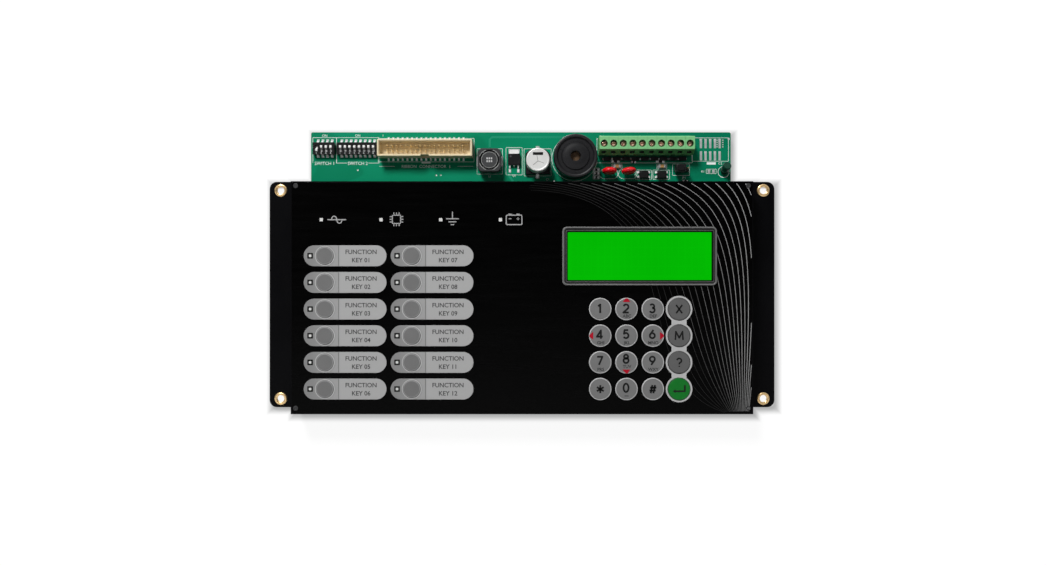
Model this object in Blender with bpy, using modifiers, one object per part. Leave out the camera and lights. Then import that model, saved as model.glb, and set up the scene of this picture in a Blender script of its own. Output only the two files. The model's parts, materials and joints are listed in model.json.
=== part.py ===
"""Display and control unit of a fire alarm control panel, for Blender 4.5.

A folded steel chassis with two mounting ears carries a printed overlay, a character display, 28 push keys
and, behind them, a circuit board whose top edge stands clear of the chassis with its connectors.

Metres, +Z up. The pieces are laid out in the panel's own flat frame: x to the right, y up the panel and
z out of the panel towards the person using it, with z = 0 on the back of the mounting ears and x = y = 0
at the centre of the four mounting holes. The empty "panel_frame" stands that frame upright, so that the
panel faces -Y, and puts the centre of the unit's overall box at the world's origin.
"""

import math

import bmesh
import bpy
from mathutils import Matrix, Vector

MM = 0.001

# Chassis
FACE_WIDTH = 245.0 * MM
FACE_TOP = 60.2 * MM
FACE_BOTTOM = -63.2 * MM
FACE_DEPTH = 17.5 * MM  # front of the steel face, above the back of the ears
SHEET = 1.2 * MM
BEND_RADIUS = 1.5 * MM
EAR_REACH = 138.0 * MM
EAR_HALF_HEIGHT = 61.6 * MM
EAR_CORNER = 4.0 * MM
MOUNT_HOLE_X = 131.9 * MM
MOUNT_HOLE_Y = 56.9 * MM
MOUNT_HOLE_RADIUS = 2.2 * MM
LIP_HALF_LENGTH = 118.5 * MM
LIP_DEPTH = 11.5 * MM
FACE_BACK = FACE_DEPTH - SHEET

# Fits
FIT_GAP = 0.05 * MM  # between faces that rest on each other
CLEARANCE = 0.15 * MM  # around a piece that moves or drops into an opening

# Overlay
OVERLAY_INSET = 0.6 * MM
OVERLAY_FRONT = 18.0 * MM
OVERLAY_BACK = FACE_DEPTH + FIT_GAP

# Keys. All of them share one row pitch.
ROW_PITCH = 14.1 * MM
TOP_ROW_Y = 20.7 * MM
FUNCTION_ROWS = 6
FUNCTION_COLUMNS = {"a": -104.35 * MM, "b": -58.35 * MM}
FUNCTION_KEY_RADIUS = 4.6 * MM
FUNCTION_LED_OFFSET = 7.75 * MM
KEYPAD_LEFT_X = 41.4 * MM
KEYPAD_PITCH_X = 13.9 * MM
KEYPAD_FIRST_ROW = 2
KEYPAD_KEYS = (
    ("1", "2", "3", "cancel"),
    ("4", "5", "6", "menu"),
    ("7", "8", "9", "help"),
    ("star", "0", "hash", "enter"),
)
KEYPAD_KEY_RADIUS = 5.95 * MM
KEY_FLANGE_WIDTH = 0.45 * MM
KEY_FLANGE_THICKNESS = 0.7 * MM
KEY_FLANGE_GAP = 0.25 * MM
KEY_FRONT = OVERLAY_FRONT + 0.5 * MM
KEY_STEM_RADIUS = 1.7 * MM
KEY_STEM_END = 9.4 * MM
KEY_SIDES = 20

# Status lamps
STATUS_LED_X = -106.2 * MM
STATUS_LED_PITCH = 31.6 * MM
STATUS_LED_COUNT = 4
STATUS_LED_Y = 39.8 * MM
LED_SIDE = 2.0 * MM
LED_WINDOW = 2.8 * MM
LED_TOP = 15.8 * MM

# Circuit board
BOARD_FRONT = 5.0 * MM
BOARD_THICKNESS = 1.6 * MM
BOARD_BACK = BOARD_FRONT - BOARD_THICKNESS
BOARD_LEFT = -114.5 * MM
BOARD_RIGHT = 113.3 * MM
BOARD_TOP = 88.1 * MM
BOARD_BOTTOM = -60.3 * MM
SEAT = BOARD_FRONT + FIT_GAP  # underside of every part that is soldered to the board
KEY_SWITCH_SIDE = 6.0 * MM
KEY_SWITCH_TOP = 8.6 * MM
POST_X = (-111.0 * MM, 109.0 * MM)
POST_Y = (-57.1 * MM, 53.0 * MM)
POST_RADIUS = 2.7 * MM
POST_BORE = 1.3 * MM
POST_BORE_END = 13.0 * MM
SCREW_HOLE = 1.6 * MM
SCREW_SHANK = 1.2 * MM
SCREW_TIP = 11.0 * MM
SCREW_HEAD_RADIUS = 2.7 * MM
SCREW_HEAD_BACK = 1.3 * MM

# Display
DISPLAY_X = 62.2 * MM
DISPLAY_Y = 20.5 * MM
DISPLAY_VIEW = (76.6 * MM, 25.3 * MM)
BEZEL_SIZE = (81.8 * MM, 31.1 * MM)
BEZEL_NECK = (79.0 * MM, 27.7 * MM)
BEZEL_FRONT = 19.0 * MM
BEZEL_NECK_END = 15.8 * MM
BEZEL_CORNER = 2.0 * MM
DISPLAY_BOARD = (96.0 * MM, 42.0 * MM)
DISPLAY_CAN = (88.0 * MM, 37.0 * MM)
DISPLAY_BOARD_BACK = 7.0 * MM
DISPLAY_CAN_FRONT = 15.4 * MM
DISPLAY_POCKET = (79.2 * MM, 28.0 * MM)
DISPLAY_POCKET_FLOOR = 13.0 * MM

# Setting switches
SWITCH_PITCH = 2.54 * MM
SWITCH_BODY_HEIGHT = 6.5 * MM
SWITCH_BODY_TOP = 8.3 * MM
SWITCH_Y = 79.0 * MM
SWITCH_BANKS = {"address": (4, -107.1 * MM), "config": (8, -89.2 * MM)}
SLIDER_SIZE = (1.2 * MM, 1.5 * MM)
SLIDER_TRAVEL = 1.7 * MM
SLOT_WIDTH = 1.5 * MM
SLOT_FLOOR = 7.0 * MM
SLIDER_TOP = SWITCH_BODY_TOP + 0.3 * MM
SLIDERS_DOWN = ("address_slider_1",)

# Connectors
TERMINAL_COUNT = 10
TERMINAL_PITCH = 5.08 * MM
TERMINAL_X = 66.55 * MM
TERMINAL_BACK_Y = 84.5 * MM
TERMINAL_STEP_Y = 77.7 * MM
TERMINAL_FRONT_Y = 75.0 * MM
TERMINAL_TOP = 16.0 * MM
TERMINAL_STEP_Z = 12.4 * MM
TERMINAL_SCREW_Y = 80.7 * MM
TERMINAL_WELL_RADIUS = 1.95 * MM
TERMINAL_WELL_FLOOR = 10.6 * MM
TERMINAL_ENTRY = 3.4 * MM
HEADER_X = -52.05 * MM
HEADER_Y = 78.6 * MM
HEADER_SIZE = (50.8 * MM, 9.1 * MM)
HEADER_TOP = 14.0 * MM
HEADER_FLOOR = 7.6 * MM
HEADER_WALL = 1.1 * MM
HEADER_KEYWAY = 4.6 * MM
HEADER_COLUMNS = 17
HEADER_PITCH = 2.54 * MM
PIN_SIDE = 0.64 * MM
PIN_TOP = 13.0 * MM

# Power and sound parts on the board
INDUCTOR_XY = (-17.5 * MM, 72.3 * MM)
INDUCTOR_SIDE = 12.5 * MM
INDUCTOR_TOP = 12.0 * MM
REGULATOR_XY = (-4.3 * MM, 73.2 * MM)
REGULATOR_BODY = (6.6 * MM, 6.1 * MM, 2.3 * MM)
REGULATOR_TAB = (5.3 * MM, 4.6 * MM, 0.5 * MM)
REGULATOR_LEG = (0.9 * MM, 5.6 * MM, 0.5 * MM)
REGULATOR_TAB_OFFSET = 3.2 * MM
REGULATOR_LEG_OFFSET = (2.3 * MM, -4.3 * MM)
CAPACITOR_XY = (8.45 * MM, 71.8 * MM)
CAPACITOR_BASE = 13.2 * MM
CAPACITOR_RADIUS = 6.25 * MM
CAPACITOR_TOP = 17.4 * MM
BUZZER_XY = (28.5 * MM, 73.9 * MM)
BUZZER_RADIUS = 11.65 * MM
BUZZER_TOP = 17.2 * MM
SURGE_DISC_X = (47.0 * MM, 57.4 * MM)
SURGE_DISC_Y = 66.5 * MM
SURGE_DISC_Z = 10.4 * MM
SURGE_DISC_RADIUS = 4.0 * MM
SURGE_DISC_THICKNESS = 2.8 * MM
SURGE_LEAD_RADIUS = 0.35 * MM
SURGE_LEAD_SPREAD = 2.5 * MM

MATERIALS = {
    "black_powder_coat": ((0.004, 0.004, 0.005), 0.45, 0.0),
    "printed_overlay": ((0.002, 0.002, 0.002), 0.35, 0.0),
    "bezel_plastic": ((0.05, 0.05, 0.05), 0.4, 0.0),
    "display_green": ((0.0, 0.49, 0.0), 0.2, 0.0),
    "tin_steel": ((0.55, 0.55, 0.55), 0.35, 1.0),
    "board_green": ((0.006, 0.2, 0.11), 0.4, 0.0),
    "terminal_green": ((0.2, 0.5, 0.22), 0.45, 0.0),
    "header_beige": ((0.65, 0.56, 0.38), 0.5, 0.0),
    "black_plastic": ((0.008, 0.008, 0.009), 0.5, 0.0),
    "ferrite_grey": ((0.06, 0.065, 0.065), 0.6, 0.0),
    "aluminium_can": ((0.75, 0.75, 0.74), 0.3, 1.0),
    "red_epoxy": ((0.7, 0.02, 0.02), 0.25, 0.0),
    "white_slider": ((0.8, 0.8, 0.8), 0.4, 0.0),
    "key_grey": ((0.16, 0.16, 0.16), 0.5, 0.0),
    "key_dark_grey": ((0.11, 0.11, 0.11), 0.5, 0.0),
    "key_green": ((0.007, 0.14, 0.02), 0.5, 0.0),
    "zinc_steel": ((0.6, 0.6, 0.6), 0.3, 1.0),
}


# ---------------------------------------------------------------- scene set-up


def clear_scene():
    for obj in list(bpy.data.objects):
        bpy.data.objects.remove(obj)


def new_collection(name):
    collection = bpy.data.collections.new(name)
    bpy.context.scene.collection.children.link(collection)
    return collection


def make_materials():
    for name, (colour, roughness, metallic) in MATERIALS.items():
        material = bpy.data.materials.new(name)
        material.use_nodes = True
        shader = material.node_tree.nodes["Principled BSDF"]
        shader.inputs["Base Color"].default_value = (*colour, 1.0)
        shader.inputs["Roughness"].default_value = roughness
        shader.inputs["Metallic"].default_value = metallic


clear_scene()
make_materials()
PARTS = new_collection("fire_alarm_display_unit")
TOOLS = new_collection("cutting_tools")
FRAME = bpy.data.objects.new("panel_frame", None)
FRAME.rotation_euler = (math.radians(90), 0, 0)
FRAME.location = (0, BEZEL_FRONT / 2, -(BOARD_TOP + FACE_BOTTOM) / 2)
PARTS.objects.link(FRAME)


# ------------------------------------------------------------- shapes in bmesh


def add_box(bm, size, centre):
    """A box of that size; returns its corners."""
    place = Matrix.Translation(centre) @ Matrix.Diagonal((*size, 1))
    return bmesh.ops.create_cube(bm, size=1, matrix=place)["verts"]


def add_rounded_box(bm, size, centre, radius, segments=3):
    """A box whose four edges along z are rounded."""
    corners = set(add_box(bm, size, centre))
    upright = [
        edge
        for edge in bm.edges
        if corners.issuperset(edge.verts)
        and abs(edge.verts[0].co.z - edge.verts[1].co.z) > size[2] / 2
    ]
    bmesh.ops.bevel(bm, geom=upright, offset=radius, segments=segments, affect="EDGES", profile=0.5)


def add_cylinder(bm, radius, x, y, low, high, sides=KEY_SIDES):
    """A cylinder along z from low to high."""
    bmesh.ops.create_cone(
        bm,
        cap_ends=True,
        segments=sides,
        radius1=radius,
        radius2=radius,
        depth=high - low,
        matrix=Matrix.Translation((x, y, (low + high) / 2)),
    )


def finish_mesh(bm, name):
    mesh = bpy.data.meshes.new(name)
    bmesh.ops.recalc_face_normals(bm, faces=bm.faces)
    bm.to_mesh(mesh)
    bm.free()
    return mesh


# --------------------------------------------------------------------- objects


def add_part(name, mesh, material, location=(0, 0, 0)):
    """A piece of the unit, placed in the panel's flat frame."""
    obj = bpy.data.objects.new(name, mesh)
    PARTS.objects.link(obj)
    obj.parent = FRAME
    obj.location = location
    if not mesh.materials:
        mesh.materials.append(bpy.data.materials[material])
    return obj


def add_tool(name, bm):
    """A shape that only cuts or joins other pieces."""
    obj = bpy.data.objects.new(name, finish_mesh(bm, name))
    TOOLS.objects.link(obj)
    obj.parent = FRAME
    obj.hide_render = True
    obj.display_type = "WIRE"
    return obj


def combine(obj, tool, operation):
    modifier = obj.modifiers.new(f"{operation.lower()}_{tool.name}", "BOOLEAN")
    modifier.operation = operation
    modifier.object = tool
    modifier.solver = "EXACT"


def turned_mesh(name, profile, steps=KEY_SIDES):
    """A profile of (radius, z) points, from the top down its outer side; turn_about_axis makes it round."""
    mesh = bpy.data.meshes.new(name)
    points = [(radius, 0, z) for radius, z in profile]
    mesh.from_pydata(points, [(i, i + 1) for i in range(len(points) - 1)], [])
    mesh["steps"] = steps
    return mesh


def turn_about_axis(obj):
    screw = obj.modifiers.new("turn", "SCREW")
    screw.axis = "Z"
    screw.steps = obj.data["steps"]
    screw.render_steps = obj.data["steps"]
    screw.use_merge_vertices = True
    screw.merge_threshold = 0.01 * MM
    return obj


# ------------------------------------------------------------ places of things


def row_y(row):
    return TOP_ROW_Y - row * ROW_PITCH


def function_keys():
    """(name, x, y) of each function key: two columns, numbered from the top."""
    for column, x in FUNCTION_COLUMNS.items():
        for row in range(FUNCTION_ROWS):
            yield f"function_key_{column}{row + 1}", x, row_y(row)


def keypad_keys():
    """(name, x, y) of each key of the keypad."""
    for row, labels in enumerate(KEYPAD_KEYS):
        for column, label in enumerate(labels):
            x = KEYPAD_LEFT_X + column * KEYPAD_PITCH_X
            yield f"key_{label}", x, row_y(KEYPAD_FIRST_ROW + row)


def lamps():
    """(x, y) of each lamp: the four status lamps, then one to the left of every function key."""
    for i in range(STATUS_LED_COUNT):
        yield STATUS_LED_X + i * STATUS_LED_PITCH, STATUS_LED_Y
    for _, x, y in function_keys():
        yield x - FUNCTION_LED_OFFSET, y


def posts():
    return [(x, y) for x in POST_X for y in POST_Y]


def switch_positions(bank):
    count, centre = SWITCH_BANKS[bank]
    return [centre + (i - (count - 1) / 2) * SWITCH_PITCH for i in range(count)]


# --------------------------------------------------------------------- chassis


def corner_arc(centre_x, centre_y, start, segments=5):
    """Points of a quarter turn of radius EAR_CORNER, anticlockwise from the start angle in degrees."""
    angles = [math.radians(start + 90 * i / segments) for i in range(segments + 1)]
    return [
        (centre_x + EAR_CORNER * math.cos(a), centre_y + EAR_CORNER * math.sin(a)) for a in angles
    ]


def chassis_skin():
    """The front skin of the folded sheet: face, two side walls, two ears and a lip along the bottom."""
    bm = bmesh.new()
    half = FACE_WIDTH / 2

    def vertex(x, y, z):
        return bm.verts.new((x, y, z))

    face = {
        (side, end): vertex(side * half, y, FACE_DEPTH)
        for side in (-1, 1)
        for end, y in (("low", FACE_BOTTOM), ("high", FACE_TOP))
    }
    lip_root = [vertex(x, FACE_BOTTOM, FACE_DEPTH) for x in (-LIP_HALF_LENGTH, LIP_HALF_LENGTH)]
    lip_edge = [
        vertex(x, FACE_BOTTOM, FACE_DEPTH - LIP_DEPTH) for x in (-LIP_HALF_LENGTH, LIP_HALF_LENGTH)
    ]
    bm.faces.new(
        (face[-1, "low"], lip_root[0], lip_root[1], face[1, "low"], face[1, "high"], face[-1, "high"])
    )
    bm.faces.new((lip_edge[0], lip_edge[1], lip_root[1], lip_root[0]))
    for side in (-1, 1):
        foot_low = vertex(side * half, -EAR_HALF_HEIGHT, SHEET)
        foot_high = vertex(side * half, EAR_HALF_HEIGHT, SHEET)
        wall = [face[side, "low"], foot_low, foot_high, face[side, "high"]]
        bm.faces.new(wall if side > 0 else wall[::-1])
        inner_x = EAR_REACH - EAR_CORNER
        inner_y = EAR_HALF_HEIGHT - EAR_CORNER
        outline = corner_arc(inner_x, -inner_y, -90) + corner_arc(inner_x, inner_y, 0)
        rim = [vertex(side * x, y, SHEET) for x, y in outline]
        ear = [foot_low, *rim, foot_high]
        bm.faces.new(ear if side > 0 else ear[::-1])
    mesh = bpy.data.meshes.new("chassis")
    bm.to_mesh(mesh)
    bm.free()
    return mesh


def make_posts_tool():
    bm = bmesh.new()
    for x, y in posts():
        add_cylinder(bm, POST_RADIUS, x, y, SEAT, FACE_BACK + SHEET / 2, sides=16)
    return add_tool("post_tool", bm)


def make_chassis_punch():
    """Every opening in the sheet, and the bores of the posts."""
    bm = bmesh.new()
    through = (FACE_BACK - SHEET, OVERLAY_FRONT + SHEET)
    for key_list, radius in (
        (function_keys(), FUNCTION_KEY_RADIUS),
        (keypad_keys(), KEYPAD_KEY_RADIUS),
    ):
        for _, x, y in key_list:
            add_cylinder(bm, radius + CLEARANCE, x, y, *through)
    for x, y in lamps():
        add_box(bm, (LED_WINDOW, LED_WINDOW, 4 * SHEET), (x, y, FACE_DEPTH))
    opening = [side + 2 * CLEARANCE for side in BEZEL_NECK]
    add_box(bm, (*opening, 4 * SHEET), (DISPLAY_X, DISPLAY_Y, FACE_DEPTH))
    for x, y in posts():
        add_cylinder(bm, POST_BORE, x, y, 0, POST_BORE_END, sides=12)
    for side_x in (-1, 1):
        for side_y in (-1, 1):
            add_cylinder(
                bm, MOUNT_HOLE_RADIUS, side_x * MOUNT_HOLE_X, side_y * MOUNT_HOLE_Y, -SHEET, 2 * SHEET
            )
    return add_tool("chassis_punch", bm)


def make_chassis():
    chassis = add_part("chassis", chassis_skin(), "black_powder_coat")
    bend = chassis.modifiers.new("bend", "BEVEL")
    bend.width = BEND_RADIUS
    bend.segments = 3
    bend.limit_method = "ANGLE"
    bend.angle_limit = math.radians(60)
    sheet = chassis.modifiers.new("sheet", "SOLIDIFY")
    sheet.thickness = SHEET
    sheet.offset = -1
    sheet.use_even_offset = True
    combine(chassis, make_posts_tool(), "UNION")
    combine(chassis, make_chassis_punch(), "DIFFERENCE")


def make_overlay():
    bm = bmesh.new()
    size = (
        FACE_WIDTH - 2 * OVERLAY_INSET,
        FACE_TOP - FACE_BOTTOM - 2 * OVERLAY_INSET,
        OVERLAY_FRONT - OVERLAY_BACK,
    )
    middle = (0, (FACE_TOP + FACE_BOTTOM) / 2, (OVERLAY_FRONT + OVERLAY_BACK) / 2)
    add_rounded_box(bm, size, middle, BEND_RADIUS)
    overlay = add_part("graphic_overlay", finish_mesh(bm, "graphic_overlay"), "printed_overlay")
    punch = bmesh.new()
    through = (FACE_DEPTH - SHEET, OVERLAY_FRONT + SHEET)
    for key_list, radius in (
        (function_keys(), FUNCTION_KEY_RADIUS),
        (keypad_keys(), KEYPAD_KEY_RADIUS),
    ):
        for _, x, y in key_list:
            add_cylinder(punch, radius + CLEARANCE, x, y, *through)
    opening = [side + 2 * CLEARANCE for side in BEZEL_NECK]
    add_box(punch, (*opening, 4 * SHEET), (DISPLAY_X, DISPLAY_Y, FACE_DEPTH))
    combine(overlay, add_tool("overlay_punch", punch), "DIFFERENCE")


# ------------------------------------------------------------------------ keys


def key_mesh(name, radius):
    """A round key: its cap, the flange that keeps it behind the sheet, and the stem that works the switch."""
    flange_top = FACE_BACK - KEY_FLANGE_GAP
    flange_bottom = flange_top - KEY_FLANGE_THICKNESS
    flange_radius = radius + KEY_FLANGE_WIDTH
    profile = [
        (0, KEY_FRONT),
        (radius, KEY_FRONT),
        (radius, flange_top),
        (flange_radius, flange_top),
        (flange_radius, flange_bottom),
        (KEY_STEM_RADIUS, flange_bottom),
        (KEY_STEM_RADIUS, KEY_STEM_END),
        (0, KEY_STEM_END),
    ]
    return turned_mesh(name, profile)


def make_keys():
    function_mesh = key_mesh("function_key", FUNCTION_KEY_RADIUS)
    for name, x, y in function_keys():
        turn_about_axis(add_part(name, function_mesh, "key_dark_grey", (x, y, 0)))
    finishes = {"key_cancel": "key_dark_grey", "key_menu": "key_dark_grey"}
    finishes.update({"key_help": "key_dark_grey", "key_enter": "key_green"})
    meshes = {}
    for name, x, y in keypad_keys():
        finish = finishes.get(name, "key_grey")
        if finish not in meshes:
            meshes[finish] = key_mesh(f"keypad_{finish}", KEYPAD_KEY_RADIUS)
        turn_about_axis(add_part(name, meshes[finish], finish, (x, y, 0)))


# --------------------------------------------------------------------- display


def make_display_bezel():
    """A frame that lies on the overlay, with a neck that passes through it and through the sheet."""
    bm = bmesh.new()
    flange_back = OVERLAY_FRONT + FIT_GAP
    flange_z = (BEZEL_FRONT + flange_back) / 2
    add_rounded_box(
        bm, (*BEZEL_SIZE, BEZEL_FRONT - flange_back), (DISPLAY_X, DISPLAY_Y, flange_z), BEZEL_CORNER
    )
    bezel = add_part("display_bezel", finish_mesh(bm, "display_bezel"), "bezel_plastic")
    neck = bmesh.new()
    neck_top = flange_z
    neck_z = (neck_top + BEZEL_NECK_END) / 2
    add_box(neck, (*BEZEL_NECK, neck_top - BEZEL_NECK_END), (DISPLAY_X, DISPLAY_Y, neck_z))
    combine(bezel, add_tool("bezel_neck", neck), "UNION")
    window = bmesh.new()
    add_box(window, (*DISPLAY_VIEW, 4 * (BEZEL_FRONT - BEZEL_NECK_END)), (DISPLAY_X, DISPLAY_Y, BEZEL_FRONT))
    combine(bezel, add_tool("bezel_window", window), "DIFFERENCE")


def make_display_module():
    """The steel can, its own small board and its four spacers, and the glass in the can's pocket."""
    bm = bmesh.new()
    board_front = DISPLAY_BOARD_BACK + BOARD_THICKNESS
    add_box(
        bm,
        (*DISPLAY_BOARD, BOARD_THICKNESS),
        (DISPLAY_X, DISPLAY_Y, DISPLAY_BOARD_BACK + BOARD_THICKNESS / 2),
    )
    module = add_part("display_module", finish_mesh(bm, "display_module"), "tin_steel")
    overlap = BOARD_THICKNESS / 2
    can = bmesh.new()
    can_height = DISPLAY_CAN_FRONT - board_front + overlap
    add_box(
        can, (*DISPLAY_CAN, can_height), (DISPLAY_X, DISPLAY_Y, DISPLAY_CAN_FRONT - can_height / 2)
    )
    combine(module, add_tool("display_can", can), "UNION")
    spacers = bmesh.new()
    inset = 2.6 * MM
    for side_x in (-1, 1):
        for side_y in (-1, 1):
            x = DISPLAY_X + side_x * (DISPLAY_BOARD[0] / 2 - inset)
            y = DISPLAY_Y + side_y * (DISPLAY_BOARD[1] / 2 - inset)
            add_cylinder(spacers, 2 * MM, x, y, SEAT, DISPLAY_BOARD_BACK + overlap, sides=12)
    combine(module, add_tool("display_spacers", spacers), "UNION")
    pocket = bmesh.new()
    pocket_depth = 2 * (DISPLAY_CAN_FRONT - DISPLAY_POCKET_FLOOR)
    add_box(pocket, (*DISPLAY_POCKET, pocket_depth), (DISPLAY_X, DISPLAY_Y, DISPLAY_CAN_FRONT))
    combine(module, add_tool("display_pocket", pocket), "DIFFERENCE")

    glass = bmesh.new()
    low = DISPLAY_POCKET_FLOOR + FIT_GAP
    high = DISPLAY_CAN_FRONT - FIT_GAP
    glass_size = [side - 2 * CLEARANCE for side in DISPLAY_POCKET]
    add_box(glass, (*glass_size, high - low), (DISPLAY_X, DISPLAY_Y, (low + high) / 2))
    add_part("display_glass", finish_mesh(glass, "display_glass"), "display_green")


# --------------------------------------------------------------- circuit board


def make_main_board():
    """The board, with the key switches and lamps that are soldered under the face."""
    bm = bmesh.new()
    size = (BOARD_RIGHT - BOARD_LEFT, BOARD_TOP - BOARD_BOTTOM, BOARD_THICKNESS)
    middle = (
        (BOARD_RIGHT + BOARD_LEFT) / 2,
        (BOARD_TOP + BOARD_BOTTOM) / 2,
        (BOARD_FRONT + BOARD_BACK) / 2,
    )
    add_box(bm, size, middle)
    board = add_part("main_board", finish_mesh(bm, "main_board"), "board_green")
    sunk = BOARD_THICKNESS / 2
    soldered = bmesh.new()
    switch_height = KEY_SWITCH_TOP - BOARD_FRONT + sunk
    for _, x, y in [*function_keys(), *keypad_keys()]:
        add_box(
            soldered,
            (KEY_SWITCH_SIDE, KEY_SWITCH_SIDE, switch_height),
            (x, y, KEY_SWITCH_TOP - switch_height / 2),
        )
    lamp_height = LED_TOP - BOARD_FRONT + sunk
    for x, y in lamps():
        add_box(soldered, (LED_SIDE, LED_SIDE, lamp_height), (x, y, LED_TOP - lamp_height / 2))
    combine(board, add_tool("soldered_parts", soldered), "UNION")
    drill = bmesh.new()
    for x, y in posts():
        add_cylinder(drill, SCREW_HOLE, x, y, 0, BOARD_FRONT + SHEET, sides=12)
    combine(board, add_tool("board_drill", drill), "DIFFERENCE")


def make_board_screws():
    """Screws from behind the board into the posts. The head's edge is broken by a chamfer."""
    head_top = BOARD_BACK - FIT_GAP
    chamfer = 0.6 * MM
    profile = [
        (0, SCREW_TIP),
        (SCREW_SHANK, SCREW_TIP),
        (SCREW_SHANK, head_top),
        (SCREW_HEAD_RADIUS, head_top),
        (SCREW_HEAD_RADIUS, SCREW_HEAD_BACK + chamfer),
        (SCREW_HEAD_RADIUS - chamfer, SCREW_HEAD_BACK),
        (0, SCREW_HEAD_BACK),
    ]
    mesh = turned_mesh("board_screw", profile, steps=12)
    for number, (x, y) in enumerate(posts(), start=1):
        turn_about_axis(add_part(f"board_screw_{number}", mesh, "zinc_steel", (x, y, 0)))


# ------------------------------------------------------------ setting switches


def make_switch_bank(bank):
    count, centre = SWITCH_BANKS[bank]
    bm = bmesh.new()
    height = SWITCH_BODY_TOP - SEAT
    add_box(
        bm,
        (count * SWITCH_PITCH + 1.55 * MM, SWITCH_BODY_HEIGHT, height),
        (centre, SWITCH_Y, SEAT + height / 2),
    )
    name = f"{bank}_switch_body"
    body = add_part(name, finish_mesh(bm, name), "black_plastic")
    slots = bmesh.new()
    slot_length = SLIDER_SIZE[1] + SLIDER_TRAVEL + 2 * CLEARANCE
    slot_depth = 2 * (SWITCH_BODY_TOP - SLOT_FLOOR)
    for x in switch_positions(bank):
        add_box(slots, (SLOT_WIDTH, slot_length, slot_depth), (x, SWITCH_Y, SWITCH_BODY_TOP))
    combine(body, add_tool(f"{bank}_slots", slots), "DIFFERENCE")


def slider_mesh():
    bm = bmesh.new()
    low = SLOT_FLOOR + FIT_GAP
    add_box(bm, (*SLIDER_SIZE, SLIDER_TOP - low), (0, 0, (SLIDER_TOP + low) / 2))
    return finish_mesh(bm, "switch_slider")


def make_sliders(bank, mesh):
    """Each slider rests at the upper end of its slot, apart from those named in SLIDERS_DOWN."""
    for number, x in enumerate(switch_positions(bank), start=1):
        name = f"{bank}_slider_{number}"
        end = -1 if name in SLIDERS_DOWN else 1
        add_part(name, mesh, "white_slider", (x, SWITCH_Y + end * SLIDER_TRAVEL / 2, 0))


# ------------------------------------------------------------------ connectors


def make_terminal_block():
    """A ten-way screw terminal block: a stepped section drawn out along x, with wells and wire entries."""
    section = [
        (TERMINAL_BACK_Y, SEAT),
        (TERMINAL_BACK_Y, TERMINAL_TOP),
        (TERMINAL_STEP_Y, TERMINAL_TOP),
        (TERMINAL_FRONT_Y, TERMINAL_STEP_Z),
        (TERMINAL_FRONT_Y, SEAT),
    ]
    length = TERMINAL_COUNT * TERMINAL_PITCH
    bm = bmesh.new()
    end = bm.faces.new([bm.verts.new((TERMINAL_X - length / 2, y, z)) for y, z in section])
    moved = bmesh.ops.extrude_face_region(bm, geom=[end])["geom"]
    drawn = [item for item in moved if isinstance(item, bmesh.types.BMVert)]
    bmesh.ops.translate(bm, verts=drawn, vec=Vector((length, 0, 0)))
    block = add_part("terminal_block", finish_mesh(bm, "terminal_block"), "terminal_green")
    cuts = bmesh.new()
    entry_z = SEAT + 1.4 * MM + TERMINAL_ENTRY / 2
    entry_reach = TERMINAL_SCREW_Y + TERMINAL_WELL_RADIUS
    entry_length = entry_reach - TERMINAL_FRONT_Y + SHEET
    for i in range(TERMINAL_COUNT):
        x = TERMINAL_X + (i - (TERMINAL_COUNT - 1) / 2) * TERMINAL_PITCH
        add_cylinder(
            cuts, TERMINAL_WELL_RADIUS, x, TERMINAL_SCREW_Y, TERMINAL_WELL_FLOOR, 2 * TERMINAL_TOP, sides=14
        )
        add_box(
            cuts,
            (TERMINAL_ENTRY, entry_length, TERMINAL_ENTRY),
            (x, entry_reach - entry_length / 2, entry_z),
        )
    combine(block, add_tool("terminal_cuts", cuts), "DIFFERENCE")


def make_ribbon_header():
    """A box header for a ribbon cable plug, with its keyway in the lower wall and its pins moulded in."""
    bm = bmesh.new()
    add_box(bm, (*HEADER_SIZE, HEADER_TOP - SEAT), (HEADER_X, HEADER_Y, (HEADER_TOP + SEAT) / 2))
    header = add_part("ribbon_header", finish_mesh(bm, "ribbon_header"), "header_beige")
    cavity = bmesh.new()
    inside = [side - 2 * HEADER_WALL for side in HEADER_SIZE]
    add_box(cavity, (*inside, 2 * (HEADER_TOP - HEADER_FLOOR)), (HEADER_X, HEADER_Y, HEADER_TOP))
    combine(header, add_tool("header_cavity", cavity), "DIFFERENCE")
    keyway = bmesh.new()
    wall_y = HEADER_Y - HEADER_SIZE[1] / 2
    keyway_floor = HEADER_FLOOR + 1.2 * MM
    add_box(
        keyway,
        (HEADER_KEYWAY, 4 * HEADER_WALL, 2 * (HEADER_TOP - keyway_floor)),
        (HEADER_X, wall_y, HEADER_TOP),
    )
    combine(header, add_tool("header_keyway", keyway), "DIFFERENCE")
    pins = bmesh.new()
    pin_low = (HEADER_FLOOR + SEAT) / 2
    for column in range(HEADER_COLUMNS):
        for row in (-0.5, 0.5):
            x = HEADER_X + (column - (HEADER_COLUMNS - 1) / 2) * HEADER_PITCH
            y = HEADER_Y + row * HEADER_PITCH
            add_box(pins, (PIN_SIDE, PIN_SIDE, PIN_TOP - pin_low), (x, y, (PIN_TOP + pin_low) / 2))
    combine(header, add_tool("header_pins", pins), "UNION")


# ------------------------------------------------------- power and sound parts


def make_inductor():
    bm = bmesh.new()
    height = INDUCTOR_TOP - SEAT
    add_rounded_box(
        bm, (INDUCTOR_SIDE, INDUCTOR_SIDE, height), (*INDUCTOR_XY, SEAT + height / 2), 2.5 * MM
    )
    add_part("power_inductor", finish_mesh(bm, "power_inductor"), "ferrite_grey")


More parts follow.
